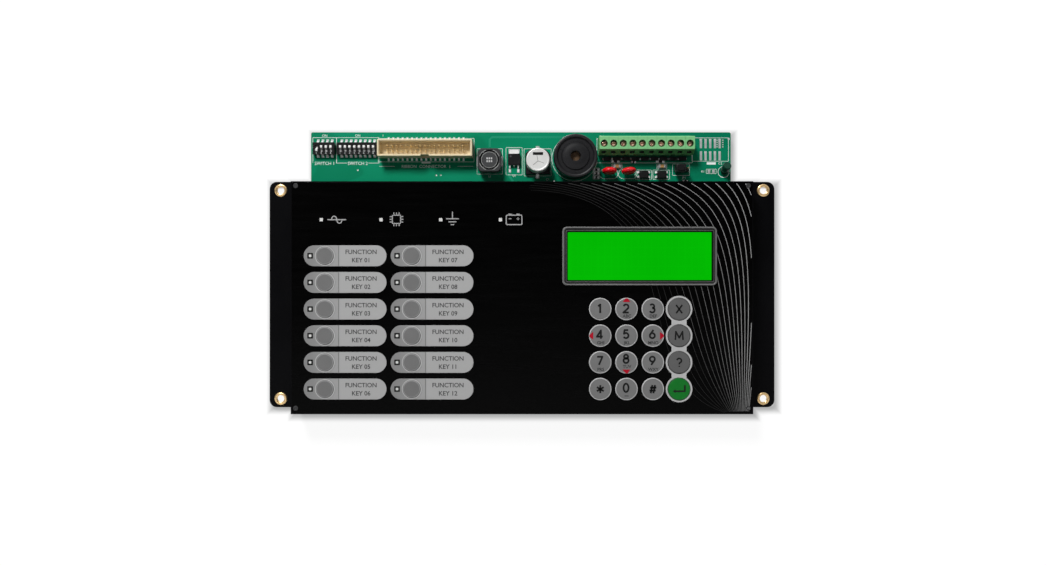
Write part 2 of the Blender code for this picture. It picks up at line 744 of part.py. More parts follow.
def make_regulator():
    """A flat-tab power package: moulded body, soldered tab above it and two legs below it."""
    x, y = REGULATOR_XY
    bm = bmesh.new()
    add_box(bm, REGULATOR_BODY, (x, y, SEAT + REGULATOR_BODY[2] / 2))
    regulator = add_part("voltage_regulator", finish_mesh(bm, "voltage_regulator"), "black_plastic")
    metal = bmesh.new()
    add_box(metal, REGULATOR_TAB, (x, y + REGULATOR_TAB_OFFSET, SEAT + REGULATOR_TAB[2] / 2))
    leg_x, leg_y = REGULATOR_LEG_OFFSET
    for side in (-1, 1):
        add_box(metal, REGULATOR_LEG, (x + side * leg_x, y + leg_y, SEAT + REGULATOR_LEG[2] / 2))
    combine(regulator, add_tool("regulator_metal", metal), "UNION")


def make_capacitor():
    """A surface-mount electrolytic capacitor: a round can on a square plastic base."""
    base_top = SEAT + 2.2 * MM
    shoulder = 0.5 * MM
    profile = [
        (0, CAPACITOR_TOP),
        (CAPACITOR_RADIUS - shoulder, CAPACITOR_TOP),
        (CAPACITOR_RADIUS, CAPACITOR_TOP - shoulder),
        (CAPACITOR_RADIUS, base_top - shoulder),
        (0, base_top - shoulder),
    ]
    can = add_part(
        "smoothing_capacitor",
        turned_mesh("smoothing_capacitor", profile, steps=24),
        "aluminium_can",
        (*CAPACITOR_XY, 0),
    )
    turn_about_axis(can)
    base = bmesh.new()
    add_rounded_box(
        base,
        (CAPACITOR_BASE, CAPACITOR_BASE, base_top - SEAT),
        (*CAPACITOR_XY, (base_top + SEAT) / 2),
        1.5 * MM,
        segments=1,
    )
    combine(can, add_tool("capacitor_base", base), "UNION")


def make_buzzer():
    """A round sounder: a rounded rim, a sunken ring and a raised middle with the sound hole."""
    rim = 10.4 * MM
    middle = 7.3 * MM
    hole = 2.4 * MM
    groove = 0.9 * MM
    profile = [
        (0, BUZZER_TOP - 5.0 * MM),
        (hole, BUZZER_TOP - 5.0 * MM),
        (hole, BUZZER_TOP - 0.3 * MM),
        (middle, BUZZER_TOP - 0.3 * MM),
        (middle + groove / 2, BUZZER_TOP - groove),
        (rim - groove, BUZZER_TOP - groove),
        (rim, BUZZER_TOP),
        (BUZZER_RADIUS - 0.2 * MM, BUZZER_TOP - 0.3 * MM),
        (BUZZER_RADIUS, BUZZER_TOP - 1.0 * MM),
        (BUZZER_RADIUS, SEAT),
        (0, SEAT),
    ]
    mesh = turned_mesh("sounder", profile, steps=28)
    turn_about_axis(add_part("sounder", mesh, "black_plastic", (*BUZZER_XY, 0)))


def make_surge_disc(number, x):
    """A dipped disc that stands on two leads, its faces towards +y and -y."""
    bm = bmesh.new()
    stand = Matrix.Translation((x, SURGE_DISC_Y, SURGE_DISC_Z)) @ Matrix.Rotation(math.radians(90), 4, "X")
    bmesh.ops.create_cone(
        bm,
        cap_ends=True,
        segments=20,
        radius1=SURGE_DISC_RADIUS,
        radius2=SURGE_DISC_RADIUS,
        depth=SURGE_DISC_THICKNESS,
        matrix=stand,
    )
    name = f"surge_disc_{number}"
    disc = add_part(name, finish_mesh(bm, name), "red_epoxy")
    rounding = disc.modifiers.new("dip", "BEVEL")
    rounding.width = 0.9 * MM
    rounding.segments = 2
    rounding.limit_method = "ANGLE"
    rounding.angle_limit = math.radians(60)
    leads = bmesh.new()
    for side in (-1, 1):
        add_cylinder(
            leads,
            SURGE_LEAD_RADIUS,
            x + side * SURGE_LEAD_SPREAD,
            SURGE_DISC_Y,
            SEAT,
            SURGE_DISC_Z - SURGE_DISC_RADIUS / 2,
            sides=8,
        )
    combine(disc, add_tool(f"{name}_leads", leads), "UNION")


# ----------------------------------------------------------------------- build


make_chassis()
make_overlay()
make_keys()
make_display_bezel()
make_display_module()
make_main_board()
make_board_screws()
SLIDER_MESH = slider_mesh()
for bank_name in SWITCH_BANKS:
    make_switch_bank(bank_name)
    make_sliders(bank_name, SLIDER_MESH)
make_terminal_block()
make_ribbon_header()
make_inductor()
make_regulator()
make_capacitor()
make_buzzer()
for disc_number, disc_x in enumerate(SURGE_DISC_X, start=1):
    make_surge_disc(disc_number, disc_x)
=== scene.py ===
"""The finished look of the fire alarm display unit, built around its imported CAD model.

Every piece is modelled in millimetres in the panel's own flat frame: x to the right, y up the panel and z
out of the panel towards the viewer, with z = 0 on the backs of the ears and x = y = 0 in the middle of the
four mounting holes.
"""

import json
import math
import random
from functools import lru_cache

import bmesh
import bpy
from mathutils import Matrix, Vector


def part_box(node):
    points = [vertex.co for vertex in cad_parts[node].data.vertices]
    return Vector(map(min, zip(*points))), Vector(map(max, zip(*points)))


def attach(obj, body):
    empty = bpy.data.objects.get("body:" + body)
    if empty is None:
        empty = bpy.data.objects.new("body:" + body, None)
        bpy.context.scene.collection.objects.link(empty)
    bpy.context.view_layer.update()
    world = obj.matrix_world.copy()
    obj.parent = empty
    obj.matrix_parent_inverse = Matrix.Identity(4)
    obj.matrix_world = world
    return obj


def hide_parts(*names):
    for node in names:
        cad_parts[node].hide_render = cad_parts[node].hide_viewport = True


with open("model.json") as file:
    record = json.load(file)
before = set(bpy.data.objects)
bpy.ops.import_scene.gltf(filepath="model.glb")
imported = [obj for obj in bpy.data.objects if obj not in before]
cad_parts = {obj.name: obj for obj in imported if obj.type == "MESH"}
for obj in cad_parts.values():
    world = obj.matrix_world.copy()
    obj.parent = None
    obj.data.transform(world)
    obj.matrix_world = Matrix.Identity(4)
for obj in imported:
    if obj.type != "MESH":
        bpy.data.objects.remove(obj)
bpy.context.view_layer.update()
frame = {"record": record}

MM = 0.001
EAR_MOUNT = next(m for m in frame["record"]["mounts"] if m["name"] == "left_ear_back")
BACK_Y, MIDDLE_Z = EAR_MOUNT["pos_m"][1:]
UPRIGHT = Matrix.Rotation(math.radians(90), 4, "X")
PANEL = Matrix.Translation((0, BACK_Y, MIDDLE_Z)) @ UPRIGHT @ Matrix.Scale(MM, 4)
ROOT = "unit"

INK = 0.03  # thickness of anything printed
SMOOTH_ANGLE = math.radians(38)
FLAT = 0.99999  # a face whose normal lies this close to an axis is shaded flat
SHARP_TURN = math.radians(40)  # a stroke is cut where it turns by more than this
PIN_PITCH = 2.54
TERMINAL_PITCH = 5.08
TERMINALS, HEADER_COLUMNS, MODULE_PINS = 10, 17, 16
EAR_HALF = 61.6  # half the ears' height
SHEET = 1.2  # the folded steel's thickness
BOARD_THICKNESS = 1.6
FLANGE, KEY_GAP = 0.45, 0.15  # the rim behind the sheet, and the play round a cap


class Space:
    """The box of a CAD node in the flat frame, in mm."""

    def __init__(self, node):
        low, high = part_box(node)
        self.x0, self.x1 = low.x / MM, high.x / MM
        self.y0, self.y1 = (low.z - MIDDLE_Z) / MM, (high.z - MIDDLE_Z) / MM
        self.z0, self.z1 = (BACK_Y - high.y) / MM, (BACK_Y - low.y) / MM
        self.x, self.y = (self.x0 + self.x1) / 2, (self.y0 + self.y1) / 2
        self.width, self.height, self.depth = self.x1 - self.x0, self.y1 - self.y0, self.z1 - self.z0

    def at(self, dx=0.0, dy=0.0, z=0.0):
        """The point that far to the right of and above the box's middle, at height z."""
        return self.x + dx, self.y + dy, z


BOARD = Space("main_board")
BOARD_BACK = BOARD.z0
BOARD_FRONT = BOARD.z0 + BOARD_THICKNESS
FILM = Space("graphic_overlay")
FILM_FRONT = FILM.z1
CHASSIS = Space("chassis")
FUNCTION_KEYS = [f"function_key_{column}{row}" for column in "ab" for row in range(1, 7)]
KEYPAD = [
    "1", "2", "3", "cancel", "4", "5", "6", "menu", "7", "8", "9", "help", "star", "0", "hash", "enter"
]
SPECIAL_KEYS = ("cancel", "menu", "help")
KEY_NAMES = [*FUNCTION_KEYS, *(f"key_{k}" for k in KEYPAD)]
STATUS_LAMPS = [(-106.2 + 31.6 * i, 39.8) for i in range(4)]
FUNCTION_LAMP_OFFSET = 7.75

# ------------------------------------------------------------------------------------------------ materials


def linear(colour):
    """A display colour, 0 to 255, as linear light."""
    return tuple(c / 255 / 12.92 if c < 10.4 else ((c / 255 + 0.055) / 1.055) ** 2.4 for c in colour)


class Graph:
    """A material's node tree, with short calls for the few nodes that the finishes need."""

    def __init__(self, name):
        self.material = bpy.data.materials.new(name)
        self.material.use_nodes = True
        self.tree = self.material.node_tree
        self.shader = self.tree.nodes["Principled BSDF"]
        self.place = self.node("TexCoord").outputs["Object"]

    def node(self, kind, *inputs, **settings):
        node = self.tree.nodes.new("ShaderNode" + kind)
        for key, value in settings.items():
            setattr(node, key, value)
        for socket, value in zip(node.inputs, inputs, strict=False):
            self.put(socket, value)
        return node

    def put(self, socket, value):
        if isinstance(value, bpy.types.NodeSocket):
            self.tree.links.new(value, socket)
        elif value is not None:
            socket.default_value = value

    def math(self, operation, *values):
        return self.node("Math", *values, operation=operation).outputs[0]

    def scaled(self, value, factor, offset):
        """value times factor, plus offset."""
        return self.math("ADD", self.math("MULTIPLY", value, factor), offset)

    def noise(self, size, detail=2.0, stretch=(1, 1, 1)):
        """Noise whose features are about size mm across; stretch divides them along x, y and z."""
        place = self.node("Mapping", self.place, None, None, stretch).outputs[0]
        noise = self.node("TexNoise")
        self.put(noise.inputs["Vector"], place)
        self.put(noise.inputs["Scale"], 1 / (size * MM))
        self.put(noise.inputs["Detail"], detail)
        return noise.outputs["Fac"]

    def mix(self, factor, first, second, blend="MIX"):
        node = self.tree.nodes.new("ShaderNodeMix")
        node.data_type = "RGBA"
        node.blend_type = blend
        for socket, value in zip((node.inputs[0], node.inputs[6], node.inputs[7]), (factor, first, second)):
            self.put(socket, (*value, 1) if isinstance(value, tuple) else value)
        return node.outputs[2]

    def step(self, value, low, high):
        """0 where value is under low, 1 where it is over high, smooth between them."""
        node = self.node("MapRange", value, low, high, 0.0, 1.0, interpolation_type="SMOOTHSTEP")
        return node.outputs[0]

    def set(self, **inputs):
        for key, value in inputs.items():
            name = key.replace("_", " ").title().replace("Ior", "IOR")
            self.put(self.shader.inputs[name], (*value, 1) if isinstance(value, tuple) else value)

    def relief(self, height, depth):
        """Bumps of that depth in mm."""
        bump = self.tree.nodes.new("ShaderNodeBump")
        self.put(bump.inputs["Distance"], depth * MM)
        self.put(bump.inputs["Height"], height)
        self.put(self.shader.inputs["Normal"], bump.outputs[0])


def finish_of(
    name, colour, roughness=0.5, metallic=0.0, specular=0.5, spread=0.12, grain=0.3, relief=0.004,
    blotch=7.0, coat=0.0, stretch=(1, 1, 1)
):
    """A finish with a fine grain, broad faint blotches, uneven gloss and a low relief."""
    graph = Graph(name)
    fine = graph.noise(grain, 2.0, stretch)
    broad = graph.noise(blotch, 3.0)
    tone = graph.math(
        "ADD", graph.math("MULTIPLY", fine, spread), graph.math("MULTIPLY", broad, 1.5 * spread)
    )
    tone = graph.math("ADD", tone, 1 - 1.25 * spread)
    graph.set(
        base_color=graph.mix(1.0, linear(colour), tone, "MULTIPLY"),
        roughness=graph.scaled(broad, 0.3 * roughness, 0.85 * roughness),
        metallic=metallic,
        specular_ior_level=specular,
        coat_weight=coat,
    )
    graph.relief(fine, relief)
    return graph.material


def powder_coat():
    """Black powder coat: an orange-peel relief, and a few faint dust specks."""
    graph = Graph("black_powder_coat")
    peel = graph.noise(0.55, 3.0)
    broad = graph.noise(25.0, 3.0)
    specks = graph.step(graph.noise(0.9, 4.0), 0.72, 0.8)
    black = graph.mix(broad, linear((3, 3, 4)), linear((8, 8, 10)))
    graph.set(
        base_color=graph.mix(graph.math("MULTIPLY", specks, 0.35), black, linear((70, 70, 72))),
        roughness=graph.scaled(broad, 0.16, 0.28),
        specular_ior_level=0.045,
    )
    graph.relief(peel, 0.018)
    return graph.material


def film_black():
    """The overlay's black ground: a satin film with a fine velvet grain and long faint rub marks."""
    graph = Graph("overlay_black")
    velvet = graph.noise(0.16, 2.0)
    rubs = graph.noise(2.5, 3.0, (0.08, 1, 1))
    graph.set(
        base_color=graph.mix(rubs, linear((0, 0, 0)), linear((3, 3, 3))),
        roughness=graph.scaled(rubs, 0.12, 0.2),
        specular_ior_level=0.04,
    )
    graph.relief(velvet, 0.003)
    return graph.material


def pill_ink():
    """Label print: mid grey at the left, paler towards the divider, palest on the label, in both columns."""
    graph = Graph("label_print")
    across = graph.node("SeparateXYZ", graph.place).outputs[0]
    local = graph.math("ADD", across, (PILL_WIDTH / 2 - PILL_X["a"]) * MM)
    local = graph.math("MODULO", local, PILL_PITCH * MM)
    edge = PILL_WIDTH / 2 + PILL_DIVIDER
    left = graph.mix(
        graph.step(local, 2 * MM, (edge - 1) * MM), linear((136, 136, 136)), linear((160, 160, 160))
    )
    ink = graph.mix(graph.step(local, (edge - 0.2) * MM, (edge + 0.2) * MM), left, linear((171, 171, 171)))
    screen = graph.noise(0.12, 1.0)
    tone = graph.scaled(screen, 0.1, 0.95)
    graph.set(base_color=graph.mix(1.0, ink, tone, "MULTIPLY"), roughness=0.42, specular_ior_level=0.15)
    graph.relief(screen, 0.003)
    return graph.material


FAN_GREYS = (152, 142, 126, 104, 76, 40)


def fan_ink(tone):
    """Grey line print; tone 0 is the brightest. It fades towards the left and the lower edge."""
    graph = Graph(f"fan_print_{tone}")
    across = graph.node("SeparateXYZ", graph.place).outputs[0]
    up = graph.node("SeparateXYZ", graph.place).outputs[2]
    fade = graph.scaled(graph.step(across, -14 * MM, 50 * MM), 0.9, 0.1)
    low_fade = graph.scaled(graph.step(up, -76 * MM, -40 * MM), 0.4, 0.6)
    fade = graph.math("MULTIPLY", fade, low_fade)
    screen = graph.scaled(graph.noise(0.2, 1.0), 0.3, 0.85)
    grey = FAN_GREYS[tone]
    graph.set(
        base_color=graph.mix(
            1.0, linear((grey, grey, grey)), graph.math("MULTIPLY", fade, screen), "MULTIPLY"
        ),
        roughness=0.45,
        specular_ior_level=0.1,
    )
    return graph.material


def board_mask():
    """Green solder mask over copper: broad faint clouds, a fine weave and a few darker bare streaks."""
    graph = Graph("solder_mask")
    broad = graph.noise(26.0, 2.0)
    weave = graph.noise(0.35, 2.0, (1, 1, 4))
    pour = graph.step(graph.noise(14.0, 0.0, (0.4, 1, 1)), 0.56, 0.6)
    across = graph.node("SeparateXYZ", graph.place).outputs[0]
    ground = graph.mix(broad, linear((0, 124, 84)), linear((6, 142, 106)))
    ground = graph.mix(graph.math("MULTIPLY", pour, 0.35), ground, linear((0, 106, 74)))
    ground = graph.mix(
        graph.math("MULTIPLY", graph.step(across, 20 * MM, 60 * MM), 0.35), ground, linear((0, 96, 70))
    )
    tone = graph.scaled(weave, 0.14, 0.93)
    graph.set(
        base_color=graph.mix(1.0, ground, tone, "MULTIPLY"),
        roughness=graph.scaled(broad, 0.15, 0.28),
        specular_ior_level=0.1,
    )
    graph.relief(weave, 0.004)
    return graph.material


def display_surface():
    """A lit display: 20 by 4 cells of 5 by 8 dots, a shade darker than the ground they stand on."""
    graph = Graph("display_face")
    x, _, z = graph.node("SeparateXYZ", graph.place).outputs
    left, bottom = DISPLAY.x - DISPLAY_VIEW[0] / 2, DISPLAY.y - DISPLAY_VIEW[1] / 2
    edge = 2.6
    cell_w, cell_h = (DISPLAY_VIEW[0] - 2 * edge) / 20, (DISPLAY_VIEW[1] - 2 * edge) / 4
    across = graph.math("SUBTRACT", x, (left + edge) * MM)
    up = graph.math("SUBTRACT", z, (bottom + edge) * MM + MIDDLE_Z)
    inside = graph.math(
        "MULTIPLY",
        graph.math(
            "MULTIPLY", graph.math("GREATER_THAN", across, 0),
            graph.math("LESS_THAN", across, 20 * cell_w * MM),
        ),
        graph.math(
            "MULTIPLY", graph.math("GREATER_THAN", up, 0), graph.math("LESS_THAN", up, 4 * cell_h * MM)
        ),
    )

    def dots(value, cell, count):
        """1 on a dot and 0 between dots, count dots to a cell with a dot's width between cells."""
        pitch = cell / (count + 1)
        on_cell = graph.math("LESS_THAN", graph.math("MODULO", value, cell * MM), count * pitch * MM)
        on_dot = graph.math("LESS_THAN", graph.math("MODULO", value, pitch * MM), 0.86 * pitch * MM)
        return graph.math("MULTIPLY", on_cell, on_dot)

    dot = graph.math(
        "MULTIPLY", inside, graph.math("MULTIPLY", dots(across, cell_w, 5), dots(up, cell_h, 8))
    )
    glow = graph.noise(30.0, 1.0)
    ground = graph.mix(glow, linear((0, 178, 0)), linear((2, 190, 2)))
    green = graph.mix(graph.math("MULTIPLY", dot, 0.06), ground, linear((0, 120, 0)))
    graph.set(
        base_color=linear((0, 10, 0)),
        emission_color=green,
        emission_strength=1.0,
        roughness=0.35,
        specular_ior_level=0.02,
    )
    return graph.material


# ------------------------------------------------------------------------------------------------- geometry


class Shape:
    """Closed solids as points, in mm, and faces."""

    def __init__(self, points, faces):
        self.points = [Vector(p) for p in points]
        self.faces = [tuple(f) for f in faces]

    def placed(self, at=(0, 0, 0), turn=None):
        place = Matrix.Translation(at) @ (turn or Matrix.Identity(4))
        return Shape([place @ p for p in self.points], self.faces)

    def __add__(self, other):
        start = len(self.points)
        return Shape(
            self.points + other.points, self.faces + [tuple(i + start for i in f) for f in other.faces]
        )


NOTHING = Shape([], [])


def turned_by(degrees, axis="Z"):
    return Matrix.Rotation(math.radians(degrees), 4, axis)


def shape_of(bm):
    bm.verts.index_update()
    shape = Shape([v.co for v in bm.verts], [[v.index for v in f.verts] for f in bm.faces])
    bm.free()
    return shape


def shape_of_mesh(mesh):
    bm = bmesh.new()
    bm.from_mesh(mesh)
    bmesh.ops.remove_doubles(bm, verts=bm.verts, dist=1e-5)
    bpy.data.meshes.remove(mesh)
    return shape_of(bm)


@lru_cache(maxsize=None)
def block(width, height, depth, bevel=0.1, segments=1):
    """A box about the origin with broken edges."""
    bm = bmesh.new()
    bmesh.ops.create_cube(bm, size=1, matrix=Matrix.Diagonal((width, height, depth, 1)))
    bmesh.ops.bevel(bm, geom=bm.edges[:], offset=bevel, segments=segments, affect="EDGES", profile=0.5)
    return shape_of(bm)


@lru_cache(maxsize=None)
def turned(profile, steps=32):
    """A profile of (radius, z) turned about z. It ends on the axis at both ends, or closes into a ring."""
    points, rings = [], []
    for radius, z in profile:
        if radius == 0:
            rings.append([len(points)] * steps)
            points.append((0, 0, z))
        else:
            rings.append(list(range(len(points), len(points) + steps)))
            angles = (2 * math.pi * i / steps for i in range(steps))
            points += [(radius * math.cos(a), radius * math.sin(a), z) for a in angles]
    if profile[0][0] != 0:
        rings.append(rings[0])
    faces = []
    for upper, lower in zip(rings, rings[1:]):
        for i in range(steps):
            j = (i + 1) % steps
            face = dict.fromkeys((upper[i], upper[j], lower[j], lower[i]))
            if len(face) > 2:
                faces.append(tuple(face))
    return Shape(points, faces)


def prism(outline, low, high):
    """A plate with that outline, without holes."""
    count = len(outline)
    points = [(x, y, z) for z in (low, high) for x, y in outline]
    sides = [(i, (i + 1) % count, count + (i + 1) % count, count + i) for i in range(count)]
    return Shape(points, [tuple(range(count))[::-1], tuple(range(count, 2 * count)), *sides])


def arc(x, y, radius, start, sweep, steps):
    angles = (math.radians(start + sweep * i / steps) for i in range(steps + 1))
    return [(x + radius * math.cos(a), y + radius * math.sin(a)) for a in angles]


def circle(x, y, radius, steps=48):
    return arc(x, y, radius, 0, 360, steps)[:-1]


def rounded(x, y, width, height, radius, steps=6):
    """A rectangle with rounded corners, anticlockwise."""
    across, up = width / 2 - radius, height / 2 - radius
    corners = ((1, 1, 0), (-1, 1, 90), (-1, -1, 180), (1, -1, 270))
    return [p for sx, sy, a in corners for p in arc(x + sx * across, y + sy * up, radius, a, 90, steps)]


def sheet(loops, low, high, bevel=0.0):
    """A plate whose first loop is its outline and whose other loops are holes."""
    curve = bpy.data.curves.new("outline", "CURVE")
    curve.dimensions = "2D"
    curve.fill_mode = "BOTH"
    curve.extrude = (high - low) / 2 - bevel
    curve.bevel_depth = bevel
    curve.bevel_resolution = 1
    curve.offset = -bevel
    for loop in loops:
        spline = curve.splines.new("POLY")
        spline.points.add(len(loop) - 1)
        for point, (x, y) in zip(spline.points, loop):
            point.co = (x, y, 0, 1)
        spline.use_cyclic_u = True
    return drawn(curve).placed((0, 0, (low + high) / 2))


def drawn(curve):
    """The mesh of a curve or of lettering, as a shape."""
    holder = bpy.data.objects.new("drawn", curve)
    bpy.context.scene.collection.objects.link(holder)
    bpy.context.view_layer.update()
    mesh = bpy.data.meshes.new_from_object(holder.evaluated_get(bpy.context.evaluated_depsgraph_get()))
    bpy.data.objects.remove(holder)
    return shape_of_mesh(mesh)


@lru_cache(maxsize=None)
def lettering(text, cap_height, weight=0.0, depth=2 * INK):
    """A line of plain lettering about the origin; weight thickens its strokes by that much each side."""
    curve = bpy.data.curves.new("lettering", "FONT")
    curve.body = text
    curve.size = cap_height / 0.73
    curve.extrude = depth / 2
    curve.offset = weight
    curve.resolution_u = 3
    curve.align_x = "CENTER"
    shape = drawn(curve)
    return shape.placed((0, -cap_height / 2, 0))


def glyph_strokes():
    """Key legends as strokes, one unit high about the origin: each is a list of (path, closed)."""

    def bow(x, y, radius, start, sweep):
        return arc(x, y, radius, start, sweep, 14)

    def ring(x, y, across, up):
        return [
            (x + across * math.cos(a * math.pi / 12), y + up * math.sin(a * math.pi / 12)) for a in range(24)
        ]

    star = [[(0.48 * math.sin(a), 0.48 * math.cos(a)), (-0.48 * math.sin(a), -0.48 * math.cos(a))]
            for a in (0, math.pi / 3, 2 * math.pi / 3)]
    return {
        "0": [(ring(0, 0, 0.3, 0.5), True)],
        "1": [([(-0.2, 0.3), (0.06, 0.5), (0.06, -0.5)], False)],
        "2": [([*bow(0, 0.2, 0.29, 165, -205), (-0.32, -0.48), (0.34, -0.48)], False)],
        "3": [(bow(-0.02, 0.24, 0.25, 155, -245), False), (bow(-0.02, -0.2, 0.3, 90, -245), False)],
        "4": [([(0.14, -0.5), (0.14, 0.5), (-0.34, -0.24), (0.36, -0.24)], False)],
        "5": [([(0.27, 0.48), (-0.18, 0.48), (-0.25, 0.04), *bow(-0.02, -0.18, 0.31, 118, -268)], False)],
        "6": [([(0.14, 0.5), (-0.24, -0.02)], False), (ring(0, -0.19, 0.3, 0.3), True)],
        "7": [([(-0.32, 0.48), (0.32, 0.48), (-0.1, -0.5)], False)],
        "8": [(ring(0, 0.26, 0.24, 0.24), True), (ring(0, -0.2, 0.3, 0.3), True)],
        "9": [([(-0.14, -0.5), (0.24, 0.02)], False), (ring(0, 0.19, 0.3, 0.3), True)],
        "X": [([(-0.36, 0.5), (0.36, -0.5)], False), ([(0.36, 0.5), (-0.36, -0.5)], False)],
        "M": [([(-0.46, -0.5), (-0.4, 0.5), (0, -0.25), (0.4, 0.5), (0.46, -0.5)], False)],
        "?": [([*bow(0, 0.22, 0.27, 170, -215), (0.02, -0.08), (0.02, -0.24)], False),
              ([(0.02, -0.4), (0.02, -0.52)], False)],
        "#": [([(-0.06, 0.5), (-0.26, -0.5)], False), ([(0.26, 0.5), (0.06, -0.5)], False),
              ([(-0.34, 0.17), (0.42, 0.17)], False), ([(-0.42, -0.17), (0.34, -0.17)], False)],
        "*": [(path, False) for path in star],
    }


def smooth_runs(points):
    """The path cut at its sharp corners."""
    runs, run = [], points[:1]
    for before, point, after in zip(points, points[1:], points[2:]):
        run.append(point)
        turn = Vector((point[0] - before[0], point[1] - before[1])).angle(
            Vector((after[0] - point[0], after[1] - point[1]))
        )
        if turn > SHARP_TURN:
            runs.append(run)
            run = [point]
    return [*runs, [*run, points[-1]]]


def stroke(points, width, low, high):
    """A line of even width, round at its sharp corners. Each part stands a hair above the last."""
    shape = NOTHING
    for number, run in enumerate(smooth_runs(points)):
        lift = 0.003 * number
        shape += strip(run, width, low, high + lift)
        if number:
            shape += prism(circle(*run[0], width / 2, 12), low, high + lift + 0.0015)
    return shape


def legend(glyph, height, width, low, high):
    """A key legend drawn with strokes of one width."""
    shape = NOTHING
    for path, closed in glyph_strokes()[glyph]:
        points = [(height * x, height * y) for x, y in path]
        shape += strip(points, width, low, high, True) if closed else stroke(
            points, width, low, high + 0.002
        )
    return shape


def strip(path, width, low, high, closed=False):
    """A flat line of that width along a path; width may be a list with one value for each point."""
    count = len(path)
    widths = width if isinstance(width, list) else [width] * count
    points = []
    for i, point in enumerate(path):
        before = path[i - 1] if i or closed else point
        after = path[(i + 1) % count] if i < count - 1 or closed else point
        along = Vector((after[0] - before[0], after[1] - before[1])).normalized()
        reach = Vector((-along.y, along.x)) * widths[i] / 2
        for side in (1, -1):
            points += [(point[0] + side * reach.x, point[1] + side * reach.y, z) for z in (low, high)]
    faces = []
    for i in range(count if closed else count - 1):
        a, b = 4 * i, 4 * ((i + 1) % count)
        faces += [(a, b, b + 1, a + 1), (a + 1, b + 1, b + 3, a + 3), (a + 3, b + 3, b + 2, a + 2)]
        faces.append((a + 2, b + 2, b, a))
    if not closed:
        last = 4 * (count - 1)
        faces += [(0, 1, 3, 2), (last + 2, last + 3, last + 1, last)]
    return Shape(points, faces)


def line(x0, y0, x1, y1, width, low, high):
    return strip([(x0, y0), (x1, y1)], width, low, high)


def frame_ring(loops):
    """A closed frame round an opening, from (loop, z) pairs whose points match one another."""
    count = len(loops[0][0])
    points = [(x, y, z) for loop, z in loops for x, y in loop]
    faces = []
    for ring in range(len(loops)):
        a, b = ring * count, (ring + 1) % len(loops) * count
        faces += [(a + i, a + (i + 1) % count, b + (i + 1) % count, b + i) for i in range(count)]
    return Shape(points, faces)


def tube(path, radius, sides=8):
    """A round wire along a path of points."""
    path = [Vector(p) for p in path]
    side = None
    points, faces = [], []
    for i, point in enumerate(path):
        along = (path[min(i + 1, len(path) - 1)] - path[max(i - 1, 0)]).normalized()
        if side is None:
            side = along.orthogonal()
        side = (side - along * side.dot(along)).normalized()
        other = along.cross(side)
        for j in range(sides):
            a = 2 * math.pi * j / sides
            points.append(point + radius * (math.cos(a) * side + math.sin(a) * other))
    for i in range(len(path) - 1):
        for j in range(sides):
            k = (j + 1) % sides
            faces.append((i * sides + j, i * sides + k, (i + 1) * sides + k, (i + 1) * sides + j))
    faces.append(tuple(range(sides))[::-1])
    faces.append(tuple(range(len(points) - sides, len(points))))
    return Shape(points, faces)


def band(path, thickness, width):
    """A bent flat strip: path runs in the xz plane, the strip is thickness thick and width wide along y."""
    flat = strip(path, thickness, -width / 2, width / 2)
    return flat.placed(turn=turned_by(90, "X"))


def carved(body, *cutters):
    """body less the cutters."""
    objects = []
    for shape in (body, sum(cutters[1:], cutters[0])):
        mesh = bpy.data.meshes.new("carving")
        mesh.from_pydata(shape.points, [], shape.faces)
        bm = bmesh.new()
        bm.from_mesh(mesh)
        bmesh.ops.recalc_face_normals(bm, faces=bm.faces)
        bm.to_mesh(mesh)
        bm.free()
        obj = bpy.data.objects.new("carving", mesh)
        bpy.context.scene.collection.objects.link(obj)
        objects.append(obj)
    cut = objects[0].modifiers.new("cut", "BOOLEAN")
    cut.operation = "DIFFERENCE"
    cut.object = objects[1]
    cut.solver = "EXACT"
    cut.use_self = True
    bpy.context.view_layer.update()
    evaluated = objects[0].evaluated_get(bpy.context.evaluated_depsgraph_get())
    result = shape_of_mesh(bpy.data.meshes.new_from_object(evaluated))
    for obj in objects:
        mesh = obj.data
        bpy.data.objects.remove(obj)
        bpy.data.meshes.remove(mesh)
    return result


class Piece:
    """One piece of the finished unit, gathered from shapes that may differ in material."""

    def __init__(self, name):
        self.name = name
        self.points, self.faces, self.face_materials, self.materials = [], [], [], []

    def index_of(self, material):
        if material not in self.materials:
            self.materials.append(material)
        return self.materials.index(material)

    def add(self, material, shape, at=(0, 0, 0), turn=None, edge=None, slope=0.5):
        """Adds a shape. edge, where given, is the material of its faces steeper than slope."""
        if turn is not None or any(at):
            shape = shape.placed(at, turn)
        start = len(self.points)
        self.points += shape.points
        main = self.index_of(material)
        side = main if edge is None else self.index_of(edge)
        for face in shape.faces:
            upright = False
            if side != main:
                a, b, c = (shape.points[i] for i in face[:3])
                upright = abs((b - a).cross(c - a).normalized().z) < slope
            self.faces.append(tuple(i + start for i in face))
            self.face_materials.append(side if upright else main)
        return self

    def finish(self, body=ROOT, replaces=()):
        mesh = bpy.data.meshes.new(self.name)
        mesh.from_pydata(self.points, [], self.faces)
        for material in self.materials:
            mesh.materials.append(MATERIALS[material])
        mesh.polygons.foreach_set("material_index", self.face_materials)
        mesh.transform(PANEL)
        bm = bmesh.new()
        bm.from_mesh(mesh)
        bmesh.ops.recalc_face_normals(bm, faces=bm.faces)
        bm.to_mesh(mesh)
        bm.free()
        mesh.shade_smooth()
        mesh.set_sharp_from_angle(angle=SMOOTH_ANGLE)
        for polygon in mesh.polygons:
            polygon.use_smooth = max(abs(n) for n in polygon.normal) < FLAT
        obj = bpy.data.objects.new(self.name, mesh)
        bpy.context.scene.collection.objects.link(obj)
        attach(obj, body)
        if replaces:
            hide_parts(*replaces)
        return obj


# ----------------------------------------------------------------------------------------- chassis and film

